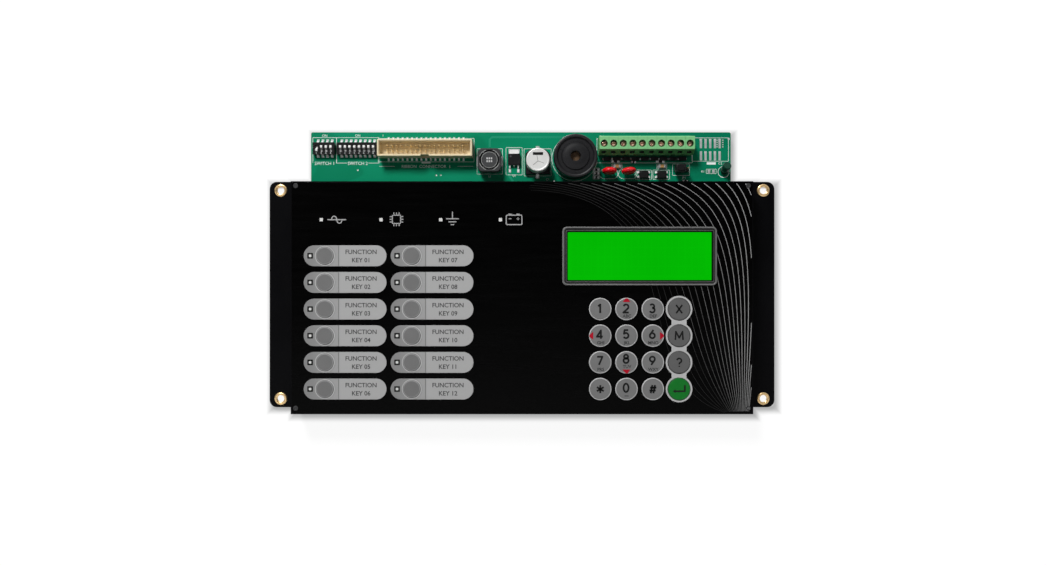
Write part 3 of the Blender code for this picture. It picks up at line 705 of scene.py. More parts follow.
MOUNT_HOLE_INSET = (6.1, 4.7)
HOLES = [
    (sx * (CHASSIS.x1 - MOUNT_HOLE_INSET[0]), sy * (EAR_HALF - MOUNT_HOLE_INSET[1]))
    for sx in (-1, 1) for sy in (-1, 1)
]
EAR_CORNER = 4.0
LIP_HALF, LIP_DEPTH = 118.5, 11.5
LAMP_OPENING = 2.8
STUD_X = 119.8
FACE_INSET = 0.6
FACE = (FILM.x0 - FACE_INSET, FILM.y0 - FACE_INSET, FILM.x1 + FACE_INSET, FILM.y1 + FACE_INSET)
FACE_FRONT = CHASSIS.z1
BEND = 1.5
DISPLAY = Space("display_bezel")
DISPLAY_VIEW = (76.6, 25.3)
NECK = (DISPLAY.width - 2.8, DISPLAY.height - 3.4)


def key_holes():
    """A loop round every key cap, with the play that it needs."""
    keys = (Space(name) for name in KEY_NAMES)
    return [circle(key.x, key.y, key.width / 2 - FLANGE + KEY_GAP) for key in keys]


def window_hole():
    """The opening that the display frame's neck passes through."""
    return rounded(DISPLAY.x, DISPLAY.y, NECK[0] + 0.3, NECK[1] + 0.3, 0.5, 3)


def sheet_surface():
    """Face, walls, ears and lip as one surface that has no thickness yet."""
    _, y0, x1, y1 = FACE
    bm = bmesh.new()

    def vertex(x, y, z):
        return bm.verts.new((x, y, z))

    face = {(s, e): vertex(s * x1, y, FACE_FRONT) for s in (-1, 1) for e, y in (("low", y0), ("high", y1))}
    root = [vertex(x, y0, FACE_FRONT) for x in (-LIP_HALF, LIP_HALF)]
    edge = [vertex(x, y0, FACE_FRONT - LIP_DEPTH) for x in (-LIP_HALF, LIP_HALF)]
    bm.faces.new((face[-1, "low"], root[0], root[1], face[1, "low"], face[1, "high"], face[-1, "high"]))
    bm.faces.new((edge[0], edge[1], root[1], root[0]))
    corner_x, corner_y = CHASSIS.x1 - EAR_CORNER, EAR_HALF - EAR_CORNER
    for side in (-1, 1):
        foot = [vertex(side * x1, y, SHEET) for y in (-EAR_HALF, EAR_HALF)]
        wall = [face[side, "low"], foot[0], foot[1], face[side, "high"]]
        bm.faces.new(wall if side > 0 else wall[::-1])
        rim = arc(corner_x, -corner_y, EAR_CORNER, -90, 90, 8) + arc(
            corner_x, corner_y, EAR_CORNER, 0, 90, 8
        )
        ear = [foot[0], *(vertex(side * x, y, SHEET) for x, y in rim), foot[1]]
        bm.faces.new(ear if side > 0 else ear[::-1])
    mesh = bpy.data.meshes.new("chassis_shell")
    bm.to_mesh(mesh)
    bm.free()
    return mesh


def folded_sheet():
    """The same surface with round bends and the steel's thickness."""
    obj = bpy.data.objects.new("chassis_shell", sheet_surface())
    bpy.context.scene.collection.objects.link(obj)
    bend = obj.modifiers.new("bend", "BEVEL")
    bend.width, bend.segments = BEND, 3
    bend.limit_method, bend.angle_limit = "ANGLE", math.radians(60)
    solid = obj.modifiers.new("sheet", "SOLIDIFY")
    solid.thickness, solid.offset, solid.use_even_offset = SHEET, -1, True
    bpy.context.view_layer.update()
    evaluated = obj.evaluated_get(bpy.context.evaluated_depsgraph_get())
    mesh = bpy.data.meshes.new_from_object(evaluated)
    for point in mesh.vertices:  # the bends' corner points end a little in front of the face
        point.co.z = min(point.co.z, FACE_FRONT)
    folded = shape_of_mesh(mesh)
    bpy.data.objects.remove(obj)
    return folded


def make_chassis():
    """The folded sheet with every opening cut through it, and the board's hexagonal posts."""
    lamps = [rounded(x, y, LAMP_OPENING, LAMP_OPENING, 0.3, 2) for x, y in all_lamps()]
    openings = [*key_holes(), *lamps, window_hole()]
    folded = folded_sheet()
    cuts = [prism(loop, FACE_FRONT - 3, FACE_FRONT + 1) for loop in openings]
    cuts += [prism(circle(x, y, 2.2, 32), -1, 3) for x, y in HOLES]
    shell = Piece("chassis_shell")
    shell.add("powder_coat", carved(folded, *cuts))
    top = FACE_FRONT - 0.4
    post = ((1.35, 12.9), (1.35, 5.3), (1.6, 5.07), (2.5, 5.07), (2.7, 5.3), (2.7, top), (1.35, top))
    for x, y in board_posts():
        shell.add("zinc", turned(post, 6), (x, y, 0))
    shell.finish(replaces=["chassis"])


def board_posts():
    return [(s.x, s.y) for s in (Space(f"board_screw_{i}") for i in range(1, 5))]


def all_lamps():
    lamps = list(STATUS_LAMPS)
    for name in FUNCTION_KEYS:
        key = Space(name)
        lamps.append((key.x - FUNCTION_LAMP_OFFSET, key.y))
    return lamps


def make_ear_eyelets():
    """Rolled brass eyelets that line the mounting holes."""
    profile = (
        (1.95, 1.5), (2.05, 1.68), (2.3, 1.8), (2.75, 1.82), (3.15, 1.72), (3.4, 1.5), (3.48, 1.24),
        (3.3, 1.21), (2.17, 1.21), (2.17, 0.03), (1.95, 0.03),
    )
    eyelets = Piece("ear_eyelets")
    for x, y in HOLES:
        eyelets.add("gold", turned(profile, 48), (x, y, 0))
    eyelets.finish()


def make_corner_studs():
    """The heads of flush studs, low under the film at the four corners of the face."""
    studs = Piece("corner_studs")
    profile = ((0, 18.02), (0.55, 18.02), (0.7, 18.1), (1.05, 18.1), (1.3, 18.02), (1.35, 17.9), (0, 17.9))
    for sx in (-1, 1):
        for y in (FILM.y0 + 2.6, FILM.y1 - 1.8):
            studs.add("stud_grey", turned(profile, 24), (sx * STUD_X, y, 0))
    studs.finish()


def make_film():
    outline = rounded(FILM.x, FILM.y, FILM.width, FILM.height, 1.5)
    film = Piece("overlay_film")
    film.add("film_black", sheet([outline, *key_holes(), window_hole()], FILM.z0, FILM.z1, 0.06))
    film.finish(replaces=["graphic_overlay"])


# ------------------------------------------------------------------------------------------------- printing

# lowest and highest face of the first, second and third coat
PRINT, SECOND, THIRD = ((FILM_FRONT - 0.04, FILM_FRONT + coats * INK) for coats in (1, 2, 3))
PILL_WIDTH, PILL_HEIGHT = 43.8, 11.06
PILL_X = {"a": -93.6, "b": -47.6}
PILL_PITCH = PILL_X["b"] - PILL_X["a"]
PILL_DIVIDER = -3.4
ROWS = [Space(f"function_key_a{row}").y for row in range(1, 7)]


def make_label_pills():
    """The twelve label fields, each with a hole for its key, a divider and a lamp window."""
    pills = Piece("label_pills")
    details = Piece("label_details")
    radius = PILL_HEIGHT / 2
    for row, y in enumerate(ROWS, start=1):
        for column, x in PILL_X.items():
            key = Space(f"function_key_{column}{row}")
            cap = key.width / 2 - FLANGE
            ends = arc(x + PILL_WIDTH / 2 - radius, y, radius, -90, 180, 20)
            ends += arc(x - PILL_WIDTH / 2 + radius, y, radius, 90, 180, 20)
            pills.add("label_print", sheet([ends, circle(key.x, key.y, cap + KEY_GAP)], *PRINT))
            divider = line(
                x + PILL_DIVIDER, y - radius + 0.1, x + PILL_DIVIDER, y + radius - 0.1, 0.55, *SECOND
            )
            details.add("print_mid", divider)
            ring = circle(key.x, key.y, cap + KEY_GAP + 0.24, 40)
            details.add("print_pale", strip(ring, 0.42, *SECOND, closed=True))
            # A thin darker arc on the right of each key: painted shadow of the cap on the label.
            details.add("print_shade", strip(arc(key.x, key.y, cap + 0.95, -80, 160, 16), 0.22, *SECOND))
            lamp_window(details, key.x - FUNCTION_LAMP_OFFSET, y)
    pills.finish()
    details.finish()


def lamp_window(piece, x, y, outer=3.0, inner=1.35):
    piece.add("print_black", prism(rounded(x, y, outer, outer, 0.25, 2), *SECOND))
    piece.add("lamp_window", prism(rounded(x, y, inner, inner, 0.3, 2), *THIRD))


def make_label_text():
    """Two neutral lines on each label: the word and the key's own number."""
    text = Piece("label_text")
    number = 0
    for x in PILL_X.values():
        for y in ROWS:
            number += 1
            middle = x + (PILL_WIDTH / 2 + PILL_DIVIDER) / 2 - 0.8
            for words, offset in (("FUNCTION", 2.15), (f"KEY {number:02d}", -2.2)):
                text.add("print_dark", lettering(words, 2.4, 0.05), (middle, y + offset, FILM_FRONT + INK))
    text.finish()


ICON_SHIFTS = (8.2, 8.2, 6.2, 7.2)  # how far each symbol's middle is to the right of its lamp
ICON_LINE = 0.55


def make_status_icons():
    """Lamp windows and plain symbols for mains, processor, earth and battery."""
    icons = Piece("status_icons")

    def bar(x0, y0, x1, y1, width=ICON_LINE, coat=PRINT):
        icons.add("print_icon", line(x0, y0, x1, y1, width, *coat))

    for x, y in STATUS_LAMPS:
        icons.add("lamp_window", prism(rounded(x, y, 1.75, 1.75, 0.15, 2), *SECOND))
    y = STATUS_LAMPS[0][1]
    mains, processor, earth, battery = (lamp[0] + shift for lamp, shift in zip(STATUS_LAMPS, ICON_SHIFTS))
    bar(mains - 4.9, y, mains + 4.9, y)
    for middle, sweep in ((mains - 1.4, -180), (mains + 1.4, 180)):
        half_wave = arc(middle, y, 1.1, 180, sweep, 14)
        bump = [(middle + 1.25 * (px - middle), y + 1.7 * (py - y)) for px, py in half_wave]
        icons.add("print_icon", strip(bump, ICON_LINE, *SECOND))
    core = rounded(processor, y + 0.2, 4.4, 4.4, 0.4, 2)
    icons.add("print_icon", strip(core, ICON_LINE, *PRINT, closed=True))
    for offset in (-1.4, 0, 1.4):
        for side in (-1, 1):
            x, near, far = processor + offset, side * 2.3, side * 3.6
            bar(x, y + 0.2 + near, x, y + 0.2 + far, 0.5)
            bar(processor + near, y + 0.2 + offset, processor + far, y + 0.2 + offset, 0.5)
    bar(earth, y + 4.2, earth, y + 0.6)
    for half, drop in ((3.4, 0.5), (2.1, -1.1), (0.9, -2.6)):
        bar(earth - half, y + drop, earth + half, y + drop, coat=SECOND)
    case = rounded(battery, y - 0.1, 8.3, 5.0, 0.5, 2)
    icons.add("print_icon", strip(case, ICON_LINE, *PRINT, closed=True))
    for side in (-1, 1):
        x = battery + side * 2.1
        bar(x - 0.9, y + 2.9, x + 0.9, y + 2.9, coat=SECOND)
        bar(x - 0.7, y + 0.5, x + 0.7, y + 0.5, 0.4)
    bar(battery + 2.1, y - 0.2, battery + 2.1, y + 1.2, 0.4)
    icons.finish()


FAN_OUTER = ((-298, 136), (284, -46), (108, 368), (77, -646))
FAN_INNER = ((-210, -1), (304, 208), (-154, -235), (362, 6))
FAN_BLEND = 19
FAN_LINES = 21
FAN_LEFT = 4.0
FAN_STEPS = 700
FAN_WIDTH = 0.4
FAN_TONES = 6
FAN_KEEP_OUT = [  # (x, y, clearance) of the keypad's keys
    (Space(f"key_{k}").x, Space(f"key_{k}").y, 7.4 if k in (*SPECIAL_KEYS, "enter") else 6.4) for k in KEYPAD
]


def inside_film(x, y):
    """True where a fan line may be printed: on the film, clear of the keys and of the display frame."""
    if not (FAN_LEFT < x < FILM.x1 - 0.5 and FILM.y0 + 0.5 < y < FILM.y1 - 0.5):
        return False
    if abs(x - DISPLAY.x) < DISPLAY.width / 2 - 0.6 and abs(y - DISPLAY.y) < DISPLAY.height / 2 - 0.6:
        return False
    return all(math.hypot(x - kx, y - ky) > keep for kx, ky, keep in FAN_KEEP_OUT)


def bezier(a, b, c, d, t):
    s = 1 - t
    weights = (s**3, 3 * s * s * t, 3 * s * t * t, t**3)
    return tuple(sum(w * p[i] for w, p in zip(weights, (a, b, c, d))) for i in (0, 1))


def make_fan():
    """A sheaf of curves blended between an outer and an inner one, thinner and fainter towards the inner."""
    fan = Piece("fan_lines")
    for number in range(FAN_LINES):
        share = number / FAN_BLEND
        corners = [tuple(a + share * (b - a) for a, b in zip(*pair)) for pair in zip(FAN_OUTER, FAN_INNER)]
        width = max(FAN_WIDTH * (1 - 0.55 * share), 0.18)
        tone = min(int(share * FAN_TONES), FAN_TONES - 1)
        run = []
        for i in range(FAN_STEPS + 1):
            point = bezier(*corners, i / FAN_STEPS)
            printed = inside_film(*point)
            if printed:
                run.append(point)
            if run and (i == FAN_STEPS or not printed):
                if len(run) > 2:
                    fan.add(f"fan_print_{tone}", strip(run, width, *PRINT))
                run = []
    fan.finish()


def make_keypad_print():
    """The pale ground round the four keys of the right column, whose rings run together through necks."""
    rings = Piece("keypad_rings")
    special = [Space(f"key_{k}") for k in (*SPECIAL_KEYS, "enter")]
    x = special[0].x
    outer, inner, neck = 7.05, special[0].width / 2 - FLANGE + KEY_GAP, 3.97
    half_angle = math.degrees(math.asin(neck / outer))
    outline = []
    for i, key in enumerate(special):
        low = -90 if i == len(special) - 1 else -90 + half_angle
        high = 90 if i == 0 else 90 - half_angle
        outline.append((x, key.y, low, high))
    right = []
    for cx, cy, low, high in outline:
        right += arc(cx, cy, outer, high, low - high, 20)
    left = [(2 * x - px, py) for px, py in reversed(right)]
    loop = right[:-1] + left[:-1]
    holes = [circle(key.x, key.y, inner) for key in special]
    rings.add("print_white", sheet([loop, *holes], *PRINT))
    rings.finish()


# ----------------------------------------------------------------------------------------------------- keys

KEY_LETTERS = {
    "2": "ABC", "3": "DEF", "4": "GHI", "5": "JKL", "6": "MNO", "7": "PRS", "8": "TUV", "9": "WXY"
}
ARROWS = {"2": 90, "4": 180, "6": 0, "8": 270}
KEY_LOOKS = {
    "enter": ("key_face_green", "key_rim_green", "key_green"),
    **dict.fromkeys(SPECIAL_KEYS, ("key_face_special", "key_rim_special", "key_dark_grey")),
}
GLYPHS = {"cancel": "X", "menu": "M", "help": "?", "hash": "#", "star": "*"}
LEGEND_HEIGHT = 4.4
KEY_SHIFTS = {
    "1": 0.2, "2": 0.3, "3": 0.4, "4": 0.6, "5": 0.9, "6": 0.9, "7": 0.9, "8": 1.9, "9": 0.9, "0": 0.7
}


def key_cap(piece, key, face, rim):
    """A moulded cap with a rounded, paler rim, its flange behind the sheet and its stem."""
    radius, top = key.width / 2 - FLANGE, key.z1
    flange_top = FACE_FRONT - SHEET - 0.25
    body = (
        (0, top - 0.12), (radius - 0.5, top - 0.12), (radius - 0.44, top - 0.02), (radius - 0.34, top),
        (radius - 0.18, top - 0.03), (radius - 0.06, top - 0.14), (radius - 0.03, top - 0.32),
        (radius, flange_top), (radius + FLANGE, flange_top), (radius + FLANGE, flange_top - 0.7),
        (2.6, flange_top - 0.7), (2.3, flange_top - 1.1), (1.7, flange_top - 1.6), (1.7, key.z0 + 0.2),
        (1.5, key.z0), (0, key.z0),
    )
    piece.add(rim, turned(body, 48), (key.x, key.y, 0))
    edge = radius - 0.5
    disc = (
        (0, top - 0.02), (radius - 0.6, top - 0.03), (edge, top - 0.06), (edge, top - 0.3), (0, top - 0.3)
    )
    piece.add(face, turned(disc, 48), (key.x, key.y, 0))
    return top - 0.02


def make_function_keys():
    for name in FUNCTION_KEYS:
        piece = Piece(f"{name}_cap")
        key_cap(piece, Space(name), "key_face_dark", "key_rim_dark")
        piece.finish(body=name, replaces=[name])


def make_keypad_keys():
    for label in KEYPAD:
        name = f"key_{label}"
        key = Space(name)
        piece = Piece(f"{name}_cap")
        face, rim, slot = KEY_LOOKS.get(label, ("key_face", "key_rim", "key_grey"))
        top = key_cap(piece, key, face, rim)
        key_legend(piece, key, label, top)
        piece.finish(body=name, replaces=[name])


def enter_arrow(piece, key, low, high):
    stem = [(3.0, 2.1), (3.0, -1.1), (-2.4, -1.1)]
    piece.add("legend_black", stroke([(key.x + x, key.y + y) for x, y in stem], 0.9, low, high))
    head = [(key.x - 3.4, key.y - 1.1), (key.x - 1.9, key.y - 2.1), (key.x - 1.9, key.y - 0.1)]
    piece.add("legend_black", prism(head, low, high + 0.01))


def red_arrow(piece, key, degrees, low, high):
    """A small trapezium at the cap's rim that points away from its middle."""
    turn = math.radians(degrees)
    corners = [(5.75, 0.5), (5.75, -0.5), (3.75, -2.1), (3.75, 2.1)]
    outline = [
        (key.x + x * math.cos(turn) - y * math.sin(turn), key.y + x * math.sin(turn) + y * math.cos(turn))
        for x, y in corners
    ]
    piece.add("legend_red", prism(outline, low, high))


def key_legend(piece, key, label, top):
    low, high = top - 0.05, top + INK
    if label == "enter":
        enter_arrow(piece, key, low, high)
        return
    glyph = GLYPHS.get(label, label)
    width = 0.86 if label in SPECIAL_KEYS else 1.0
    place = (key.x - (0.3 if label.isdigit() else 0), key.y + KEY_SHIFTS.get(label, 0.0), 0)
    piece.add("legend_black", legend(glyph, LEGEND_HEIGHT, width, low, high), place)
    if label in KEY_LETTERS:
        below = -3.6 if label != "8" else -2.1
        piece.add("legend_grey", lettering(KEY_LETTERS[label], 1.7, 0.06), key.at(0.2, below, top))
    if label == "0":
        piece.add("legend_grey", line(key.x - 1.1, key.y - 3.6, key.x + 1.1, key.y - 3.6, 0.4, low, high))
    if label in ARROWS:
        red_arrow(piece, key, ARROWS[label], low, high)


# -------------------------------------------------------------------------------------------------- display


WINDOW_SHIFT = 0.3
MODULE_STANDOFF = 1.95  # between the display's own board and the main board


def display_loop(inset, radius):
    """A rectangle that far inside the frame's outline, a little to the right of its middle."""
    width, height = DISPLAY.width - 2 * inset[0], DISPLAY.height - 2 * inset[1]
    shift = WINDOW_SHIFT * min(inset[0] / 2.6, 1)
    return rounded(DISPLAY.x + shift, DISPLAY.y, width, height, max(radius, 0.15), 6)


def make_display_bezel():
    """A double frame: a pale rounded rib, a dark band with a fine line, and the neck through the film."""
    bezel = Piece("display_frame")
    foot, top = DISPLAY.z1 - 0.95, DISPLAY.z1

    def ring(material, outer, inner, tops, low=foot):
        """tops are (share across the ring, height) of the ring's upper side, from outside in."""
        loops = [(display_loop(outer[:2], outer[2]), low)]
        for share, height in tops:
            inset = [outer[i] + share * (inner[i] - outer[i]) for i in range(3)]
            loops.append((display_loop(inset[:2], inset[2]), height))
        loops.append((display_loop(inner[:2], inner[2]), low))
        bezel.add(material, frame_ring(loops))

    outer_rib = ((0, top - 0.45), (0.2, top - 0.12), (0.5, top), (0.8, top - 0.1), (1, top - 0.35))
    ring("bezel_pale", (0, 0, 2.4), (1.0, 0.92, 1.6), outer_rib)
    ring("bezel_dark", (0.95, 0.87, 1.6), (1.75, 1.95, 0.9), ((0, top - 0.4), (1, top - 0.6)))
    ring(
        "bezel_line", (1.7, 1.9, 0.9), (1.98, 2.18, 0.75),
        ((0, top - 0.45), (0.5, top - 0.36), (1, top - 0.45)),
    )
    ring("bezel_black", (1.93, 2.13, 0.75), (2.6, 2.9, 0.5), ((0, top - 0.62), (1, top - 0.75)))
    neck_outer = rounded(DISPLAY.x, DISPLAY.y, *NECK, 0.5, 6)
    neck_inner = rounded(DISPLAY.x, DISPLAY.y, DISPLAY_VIEW[0] + 0.4, DISPLAY_VIEW[1] + 0.4, 0.4, 6)
    low, high = DISPLAY.z0, foot + 0.1
    neck = [(neck_outer, low), (neck_outer, high), (neck_inner, high), (neck_inner, low)]
    bezel.add("bezel_black", frame_ring(neck))
    bezel.finish(replaces=["display_bezel"])


def make_display_glass():
    glass = Space("display_glass")
    panel = Piece("display_panel")
    lit = rounded(DISPLAY.x, DISPLAY.y, DISPLAY_VIEW[0] + 1.2, DISPLAY_VIEW[1] + 1.2, 0.8, 4)
    panel.add("display_face", sheet([lit], glass.z1 - 0.6, glass.z1, 0.1))
    panel.add(
        "glass_edge", block(glass.width, glass.height, 1.5, 0.15, 2), (glass.x, glass.y, glass.z0 + 0.76)
    )
    panel.finish(replaces=["display_glass"])


def make_display_module():
    """The display's steel can with folded tabs, its own board, brass spacers and pin row."""
    module = Piece("display_module_body")
    space = Space("display_module")
    glass = Space("display_glass")
    board_low = space.z0 + MODULE_STANDOFF
    board_top = board_low + BOARD_THICKNESS
    half_x, half_y = space.width / 2 - 2.6, space.height / 2 - 2.6
    corners = [(space.x + sx * half_x, space.y + sy * half_y) for sx in (-1, 1) for sy in (-1, 1)]
    board = rounded(space.x, space.y, space.width, space.height, 1.0)
    panel = sheet([board, *(circle(x, y, 1.2, 16) for x, y in corners)], board_low, board_top, 0.05)
    module.add("solder_mask", panel, edge="laminate")
    can = (space.width - 8, space.height - 5)
    outer = rounded(space.x, space.y, *can, 0.9)
    inner = rounded(space.x, space.y, glass.width + 0.3, glass.height + 0.3, 0.5)
    module.add("tin", sheet([outer, inner], board_top, space.z1, 0.3))
    module.add("tin", block(can[0] - 1, can[1] - 1, 4.1, 0.2), space.at(z=board_low + 3.68))
    for i in range(4):
        for side in (-1, 1):
            dx, dy = (i - 1.5) * 22, side * can[1] / 2
            module.add("tin", block(3.2, 1.2, 0.35, 0.08), space.at(dx, dy + side * 0.3, board_low + 1.78))
            module.add("tin", block(2.0, 0.35, 2.6, 0.08), space.at(dx, dy + side * 0.75, board_low + 0.7))
    low, high = space.z0, board_low
    spacer = ((1.3, high), (1.3, low), (2.0, low), (2.1, low + 0.2), (2.1, low + 1.75), (2.0, high))
    rivet = ((0, 2.5), (1.4, 2.4), (2.0, 1.9), (2.0, 1.62), (0, 1.62))
    for x, y in corners:
        module.add("brass", turned(spacer, 6), (x, y, 0))
        module.add("zinc", turned(tuple((r, board_low + z) for r, z in rivet), 20), (x, y, 0))
    for x, y in module_pins():
        module.add("tin", block(0.6, 0.6, 6.3, 0.12), (x, y, BOARD_FRONT + 2.2))
        module.add("moulded_black", block(2.3, 2.3, 1.9, 0.2), (x, y, BOARD_FRONT + 1.0))
    module.finish(replaces=["display_module"])


def module_pins():
    """The places of the pins between the display's own board and the main board."""
    space = Space("display_module")
    return [(space.x - 33 + i * PIN_PITCH, space.y1 - 1.9) for i in range(MODULE_PINS)]


# -------------------------------------------------------------------------------------------- circuit board

COPPER = (BOARD_FRONT - 0.05, BOARD_FRONT + 0.035)
LEGEND = (BOARD_FRONT - 0.05, BOARD_FRONT + 0.05)
REAR_COPPER = (BOARD_BACK - 0.035, BOARD_BACK + 0.05)
REAR_LEGEND = (BOARD_BACK - 0.05, BOARD_BACK + 0.05)
CONTROLLER = (-1.0, 22.0)
RADIAL = (109.4, 66.6)
JUMPER = (86.3, 67.8)
SWITCH_LEGS = ((-3.25, -2.25), (-3.25, 2.25), (3.25, -2.25), (3.25, 2.25))


def make_board():
    outline = rounded(BOARD.x, BOARD.y, BOARD.width, BOARD.height, 1.0)
    holes = [circle(x, y, 1.6, 28) for x, y in board_posts()]
    holes += [circle(x, y, 0.45, 12) for x, y in vias()]
    board = Piece("main_board_panel")
    board.add("solder_mask", sheet([outline, *holes], BOARD_BACK, BOARD_FRONT, 0.05), edge="laminate")
    board.finish(replaces=["main_board"])
    rims = Piece("board_rims")
    for x, y in board_posts():
        for low, high in (COPPER, REAR_COPPER):
            rims.add("tin", strip(circle(x, y, 2.6, 32), 1.5, low, high, closed=True))
    for x, y in vias():
        for low, high in (COPPER, REAR_COPPER):
            rims.add("copper_mask", strip(circle(x, y, 0.62, 12), 0.3, low, high, closed=True))
    rims.finish()


@lru_cache(maxsize=None)
def vias():
    """Plated through holes in small groups, clear of the parts."""
    spots = [(-46.6, 64.8), (-44.2, 64.8), (-89.2, 67.6), (17.5, 61.5)]
    dice = random.Random(11)
    while len(spots) < 70:
        x, y = dice.uniform(BOARD.x0 + 6, BOARD.x1 - 6), dice.uniform(BOARD.y0 + 6, 50)
        if all(math.hypot(x - a, y - b) > 5 for a, b in [*spots, *board_posts()]) and not near_switch(x, y):
            spots.append((x, y))
    return spots


def near_switch(x, y):
    return any(abs(x - s.x) < 5 and abs(y - s.y) < 5 for s in key_spaces())


@lru_cache(maxsize=None)
def key_spaces():
    return [Space(name) for name in KEY_NAMES]


def make_key_switches():
    """Tactile switches under the keys: black body, steel cover with rivets, plunger and four legs."""
    switches = Piece("key_switches")
    cover_top = BOARD_FRONT + 3.54
    rivet = turned(((0, 0.25), (0.35, 0.2), (0.5, 0), (0, 0)), 10)
    plunger = turned(((0, 0.3), (1.4, 0.3), (1.65, 0.1), (1.65, 0), (0, 0)), 20)
    for key in key_spaces():
        switches.add("moulded_black", block(6.0, 6.0, 3.2, 0.15), key.at(z=BOARD_FRONT + 1.65))
        switches.add("tin", block(5.7, 5.7, 0.3, 0.08), key.at(z=BOARD_FRONT + 3.4))
        for sx in (-1, 1):
            for sy in (-1, 1):
                switches.add("moulded_black", rivet, key.at(sx * 2.2, sy * 2.2, cover_top))
        switches.add("moulded_black", plunger, key.at(z=cover_top))
        for dx, dy in SWITCH_LEGS:
            switches.add("tin", block(0.3, 0.7, 5.2, 0.06), key.at(dx, dy, BOARD_FRONT - 0.3))
    switches.finish()


def make_lamps():
    """Lamps: a white housing on the board and a milky light guide up to the face."""
    lamps = Piece("lamp_guides")
    for x, y in all_lamps():
        lamps.add("lamp_white", block(3.2, 2.8, 1.9, 0.15), (x, y, BOARD_FRONT + 0.97))
        lamps.add("lamp_guide", block(2.0, 2.0, 9.0, 0.2, 2), (x, y, BOARD_FRONT + 6.3))
    lamps.finish()


def rear_solder_points():
    """(x, y) of every lead that comes through to the back of the board."""
    points = [(key.x + dx, key.y + dy) for key in key_spaces() for dx, dy in SWITCH_LEGS]
    points += [(x + dx, y) for x, y in all_lamps() for dx in (-1.27, 1.27)]
    points += terminal_pins()
    points += module_pins()
    for number in (1, 2):
        disc = Space(f"surge_disc_{number}")
        points += [(disc.x - 2.5, disc.y), (disc.x + 2.5, disc.y)]
    sounder = Space("sounder")
    points += [(sounder.x - 3.8, sounder.y), (sounder.x + 3.8, sounder.y)]
    points += [(RADIAL[0] - 1.25, RADIAL[1]), (RADIAL[0] + 1.25, RADIAL[1])]
    points += [(JUMPER[0] + dx, JUMPER[1]) for dx in (-PIN_PITCH, 0, PIN_PITCH)]
    return points


def terminal_pins():
    space = Space("terminal_block")
    return [(space.x0 + PIN_PITCH + TERMINAL_PITCH * i, space.y) for i in range(TERMINALS)]


def header_columns():
    """The header's columns of pins, as x from left to right."""
    middle = Space("ribbon_header").x
    return [middle + (i - (HEADER_COLUMNS - 1) // 2) * PIN_PITCH for i in range(HEADER_COLUMNS)]


def make_rear_solder():
    """Solder cones round the cut leads on the back."""
    solder = Piece("rear_solder")
    profile = (
        (0, 0.02), (1.05, 0.02), (0.95, -0.14), (0.6, -0.4), (0.42, -0.8), (0.34, -1.25), (0.28, -1.42),
        (0, -1.45),
    )
    for x, y in rear_solder_points():
        solder.add("solder", turned(profile, 14), (x, y, BOARD_BACK))
        solder.add("copper_mask", strip(circle(x, y, 1.15, 16), 0.25, *REAR_COPPER, closed=True))
    solder.finish()


def route(piece, width, layer, *points):
    """A track through the points, with its corners cut at 45 degrees."""
    path = [points[0]]
    for before, corner, after in zip(points, points[1:], points[2:]):
        for other in (before, after):
            gap = Vector((other[0] - corner[0], other[1] - corner[1]))
            cut = min(1.2, gap.length / 2)
            step = gap.normalized() * cut
            path.append((corner[0] + step.x, corner[1] + step.y))
    path.append(points[-1])
    path = [p for i, p in enumerate(path) if i == 0 or math.dist(p, path[i - 1]) > 1e-3]
    piece.add("copper_mask", strip(path, width, *layer))


def function_key_tracks(track):
    """Down each column from key to key, then from every key and lamp to the controller."""
    port, (_, port_y) = CONTROLLER[0] - 6.5, CONTROLLER
    for column, name in enumerate("ab"):
        keys = [Space(f"function_key_{name}{row}") for row in range(1, 7)]
        for upper, lower in zip(keys, keys[1:]):
            track(0.35, (upper.x - 3.25, upper.y - 2.25), (lower.x - 3.25, lower.y + 2.25))
        for i, key in enumerate(keys):
            bus = port_y + 6 - 1.1 * (i + 6 * column)
            middle = -30.0 + 1.1 * i + 7.5 * column
            side, below = key.x + 5.5, key.y - 4.6 - 0.7 * column
            leg = (key.x + 3.25, key.y - 2.25)
            track(0.3, leg, (side, leg[1]), (side, below), (middle, below), (middle, bus), (port, bus))
        for key in keys:
            lamp, turn = key.x - FUNCTION_LAMP_OFFSET + 1.27, key.x - 4.6
            track(0.3, (lamp, key.y), (turn, key.y), (turn, key.y + 4.4), (key.x + 9, key.y + 4.4))


def keypad_tracks(track):
    """Along each row and down each column of the keypad, then to the controller."""
    port, (_, port_y) = CONTROLLER[0] + 6.5, CONTROLLER
    rows = [[Space(f"key_{k}") for k in KEYPAD[4 * r: 4 * r + 4]] for r in range(4)]
    for r, row in enumerate(rows):
        for left, right in zip(row, row[1:]):
            track(0.35, (left.x + 3.25, left.y + 2.25), (right.x - 3.25, right.y + 2.25))
        bus = port_y - 2 - 1.1 * r
        middle, above = 24.0 - 1.3 * r, row[0].y + 2.25
        track(0.3, (row[0].x - 3.25, above), (middle, above), (middle, bus), (port, bus))
    for c in range(4):
        for upper, lower in zip(rows, rows[1:]):
            end = lower[c].y - 2.25 + 4.5
            track(0.35, (upper[c].x + 3.25, upper[c].y - 2.25), (lower[c].x + 3.25, end))


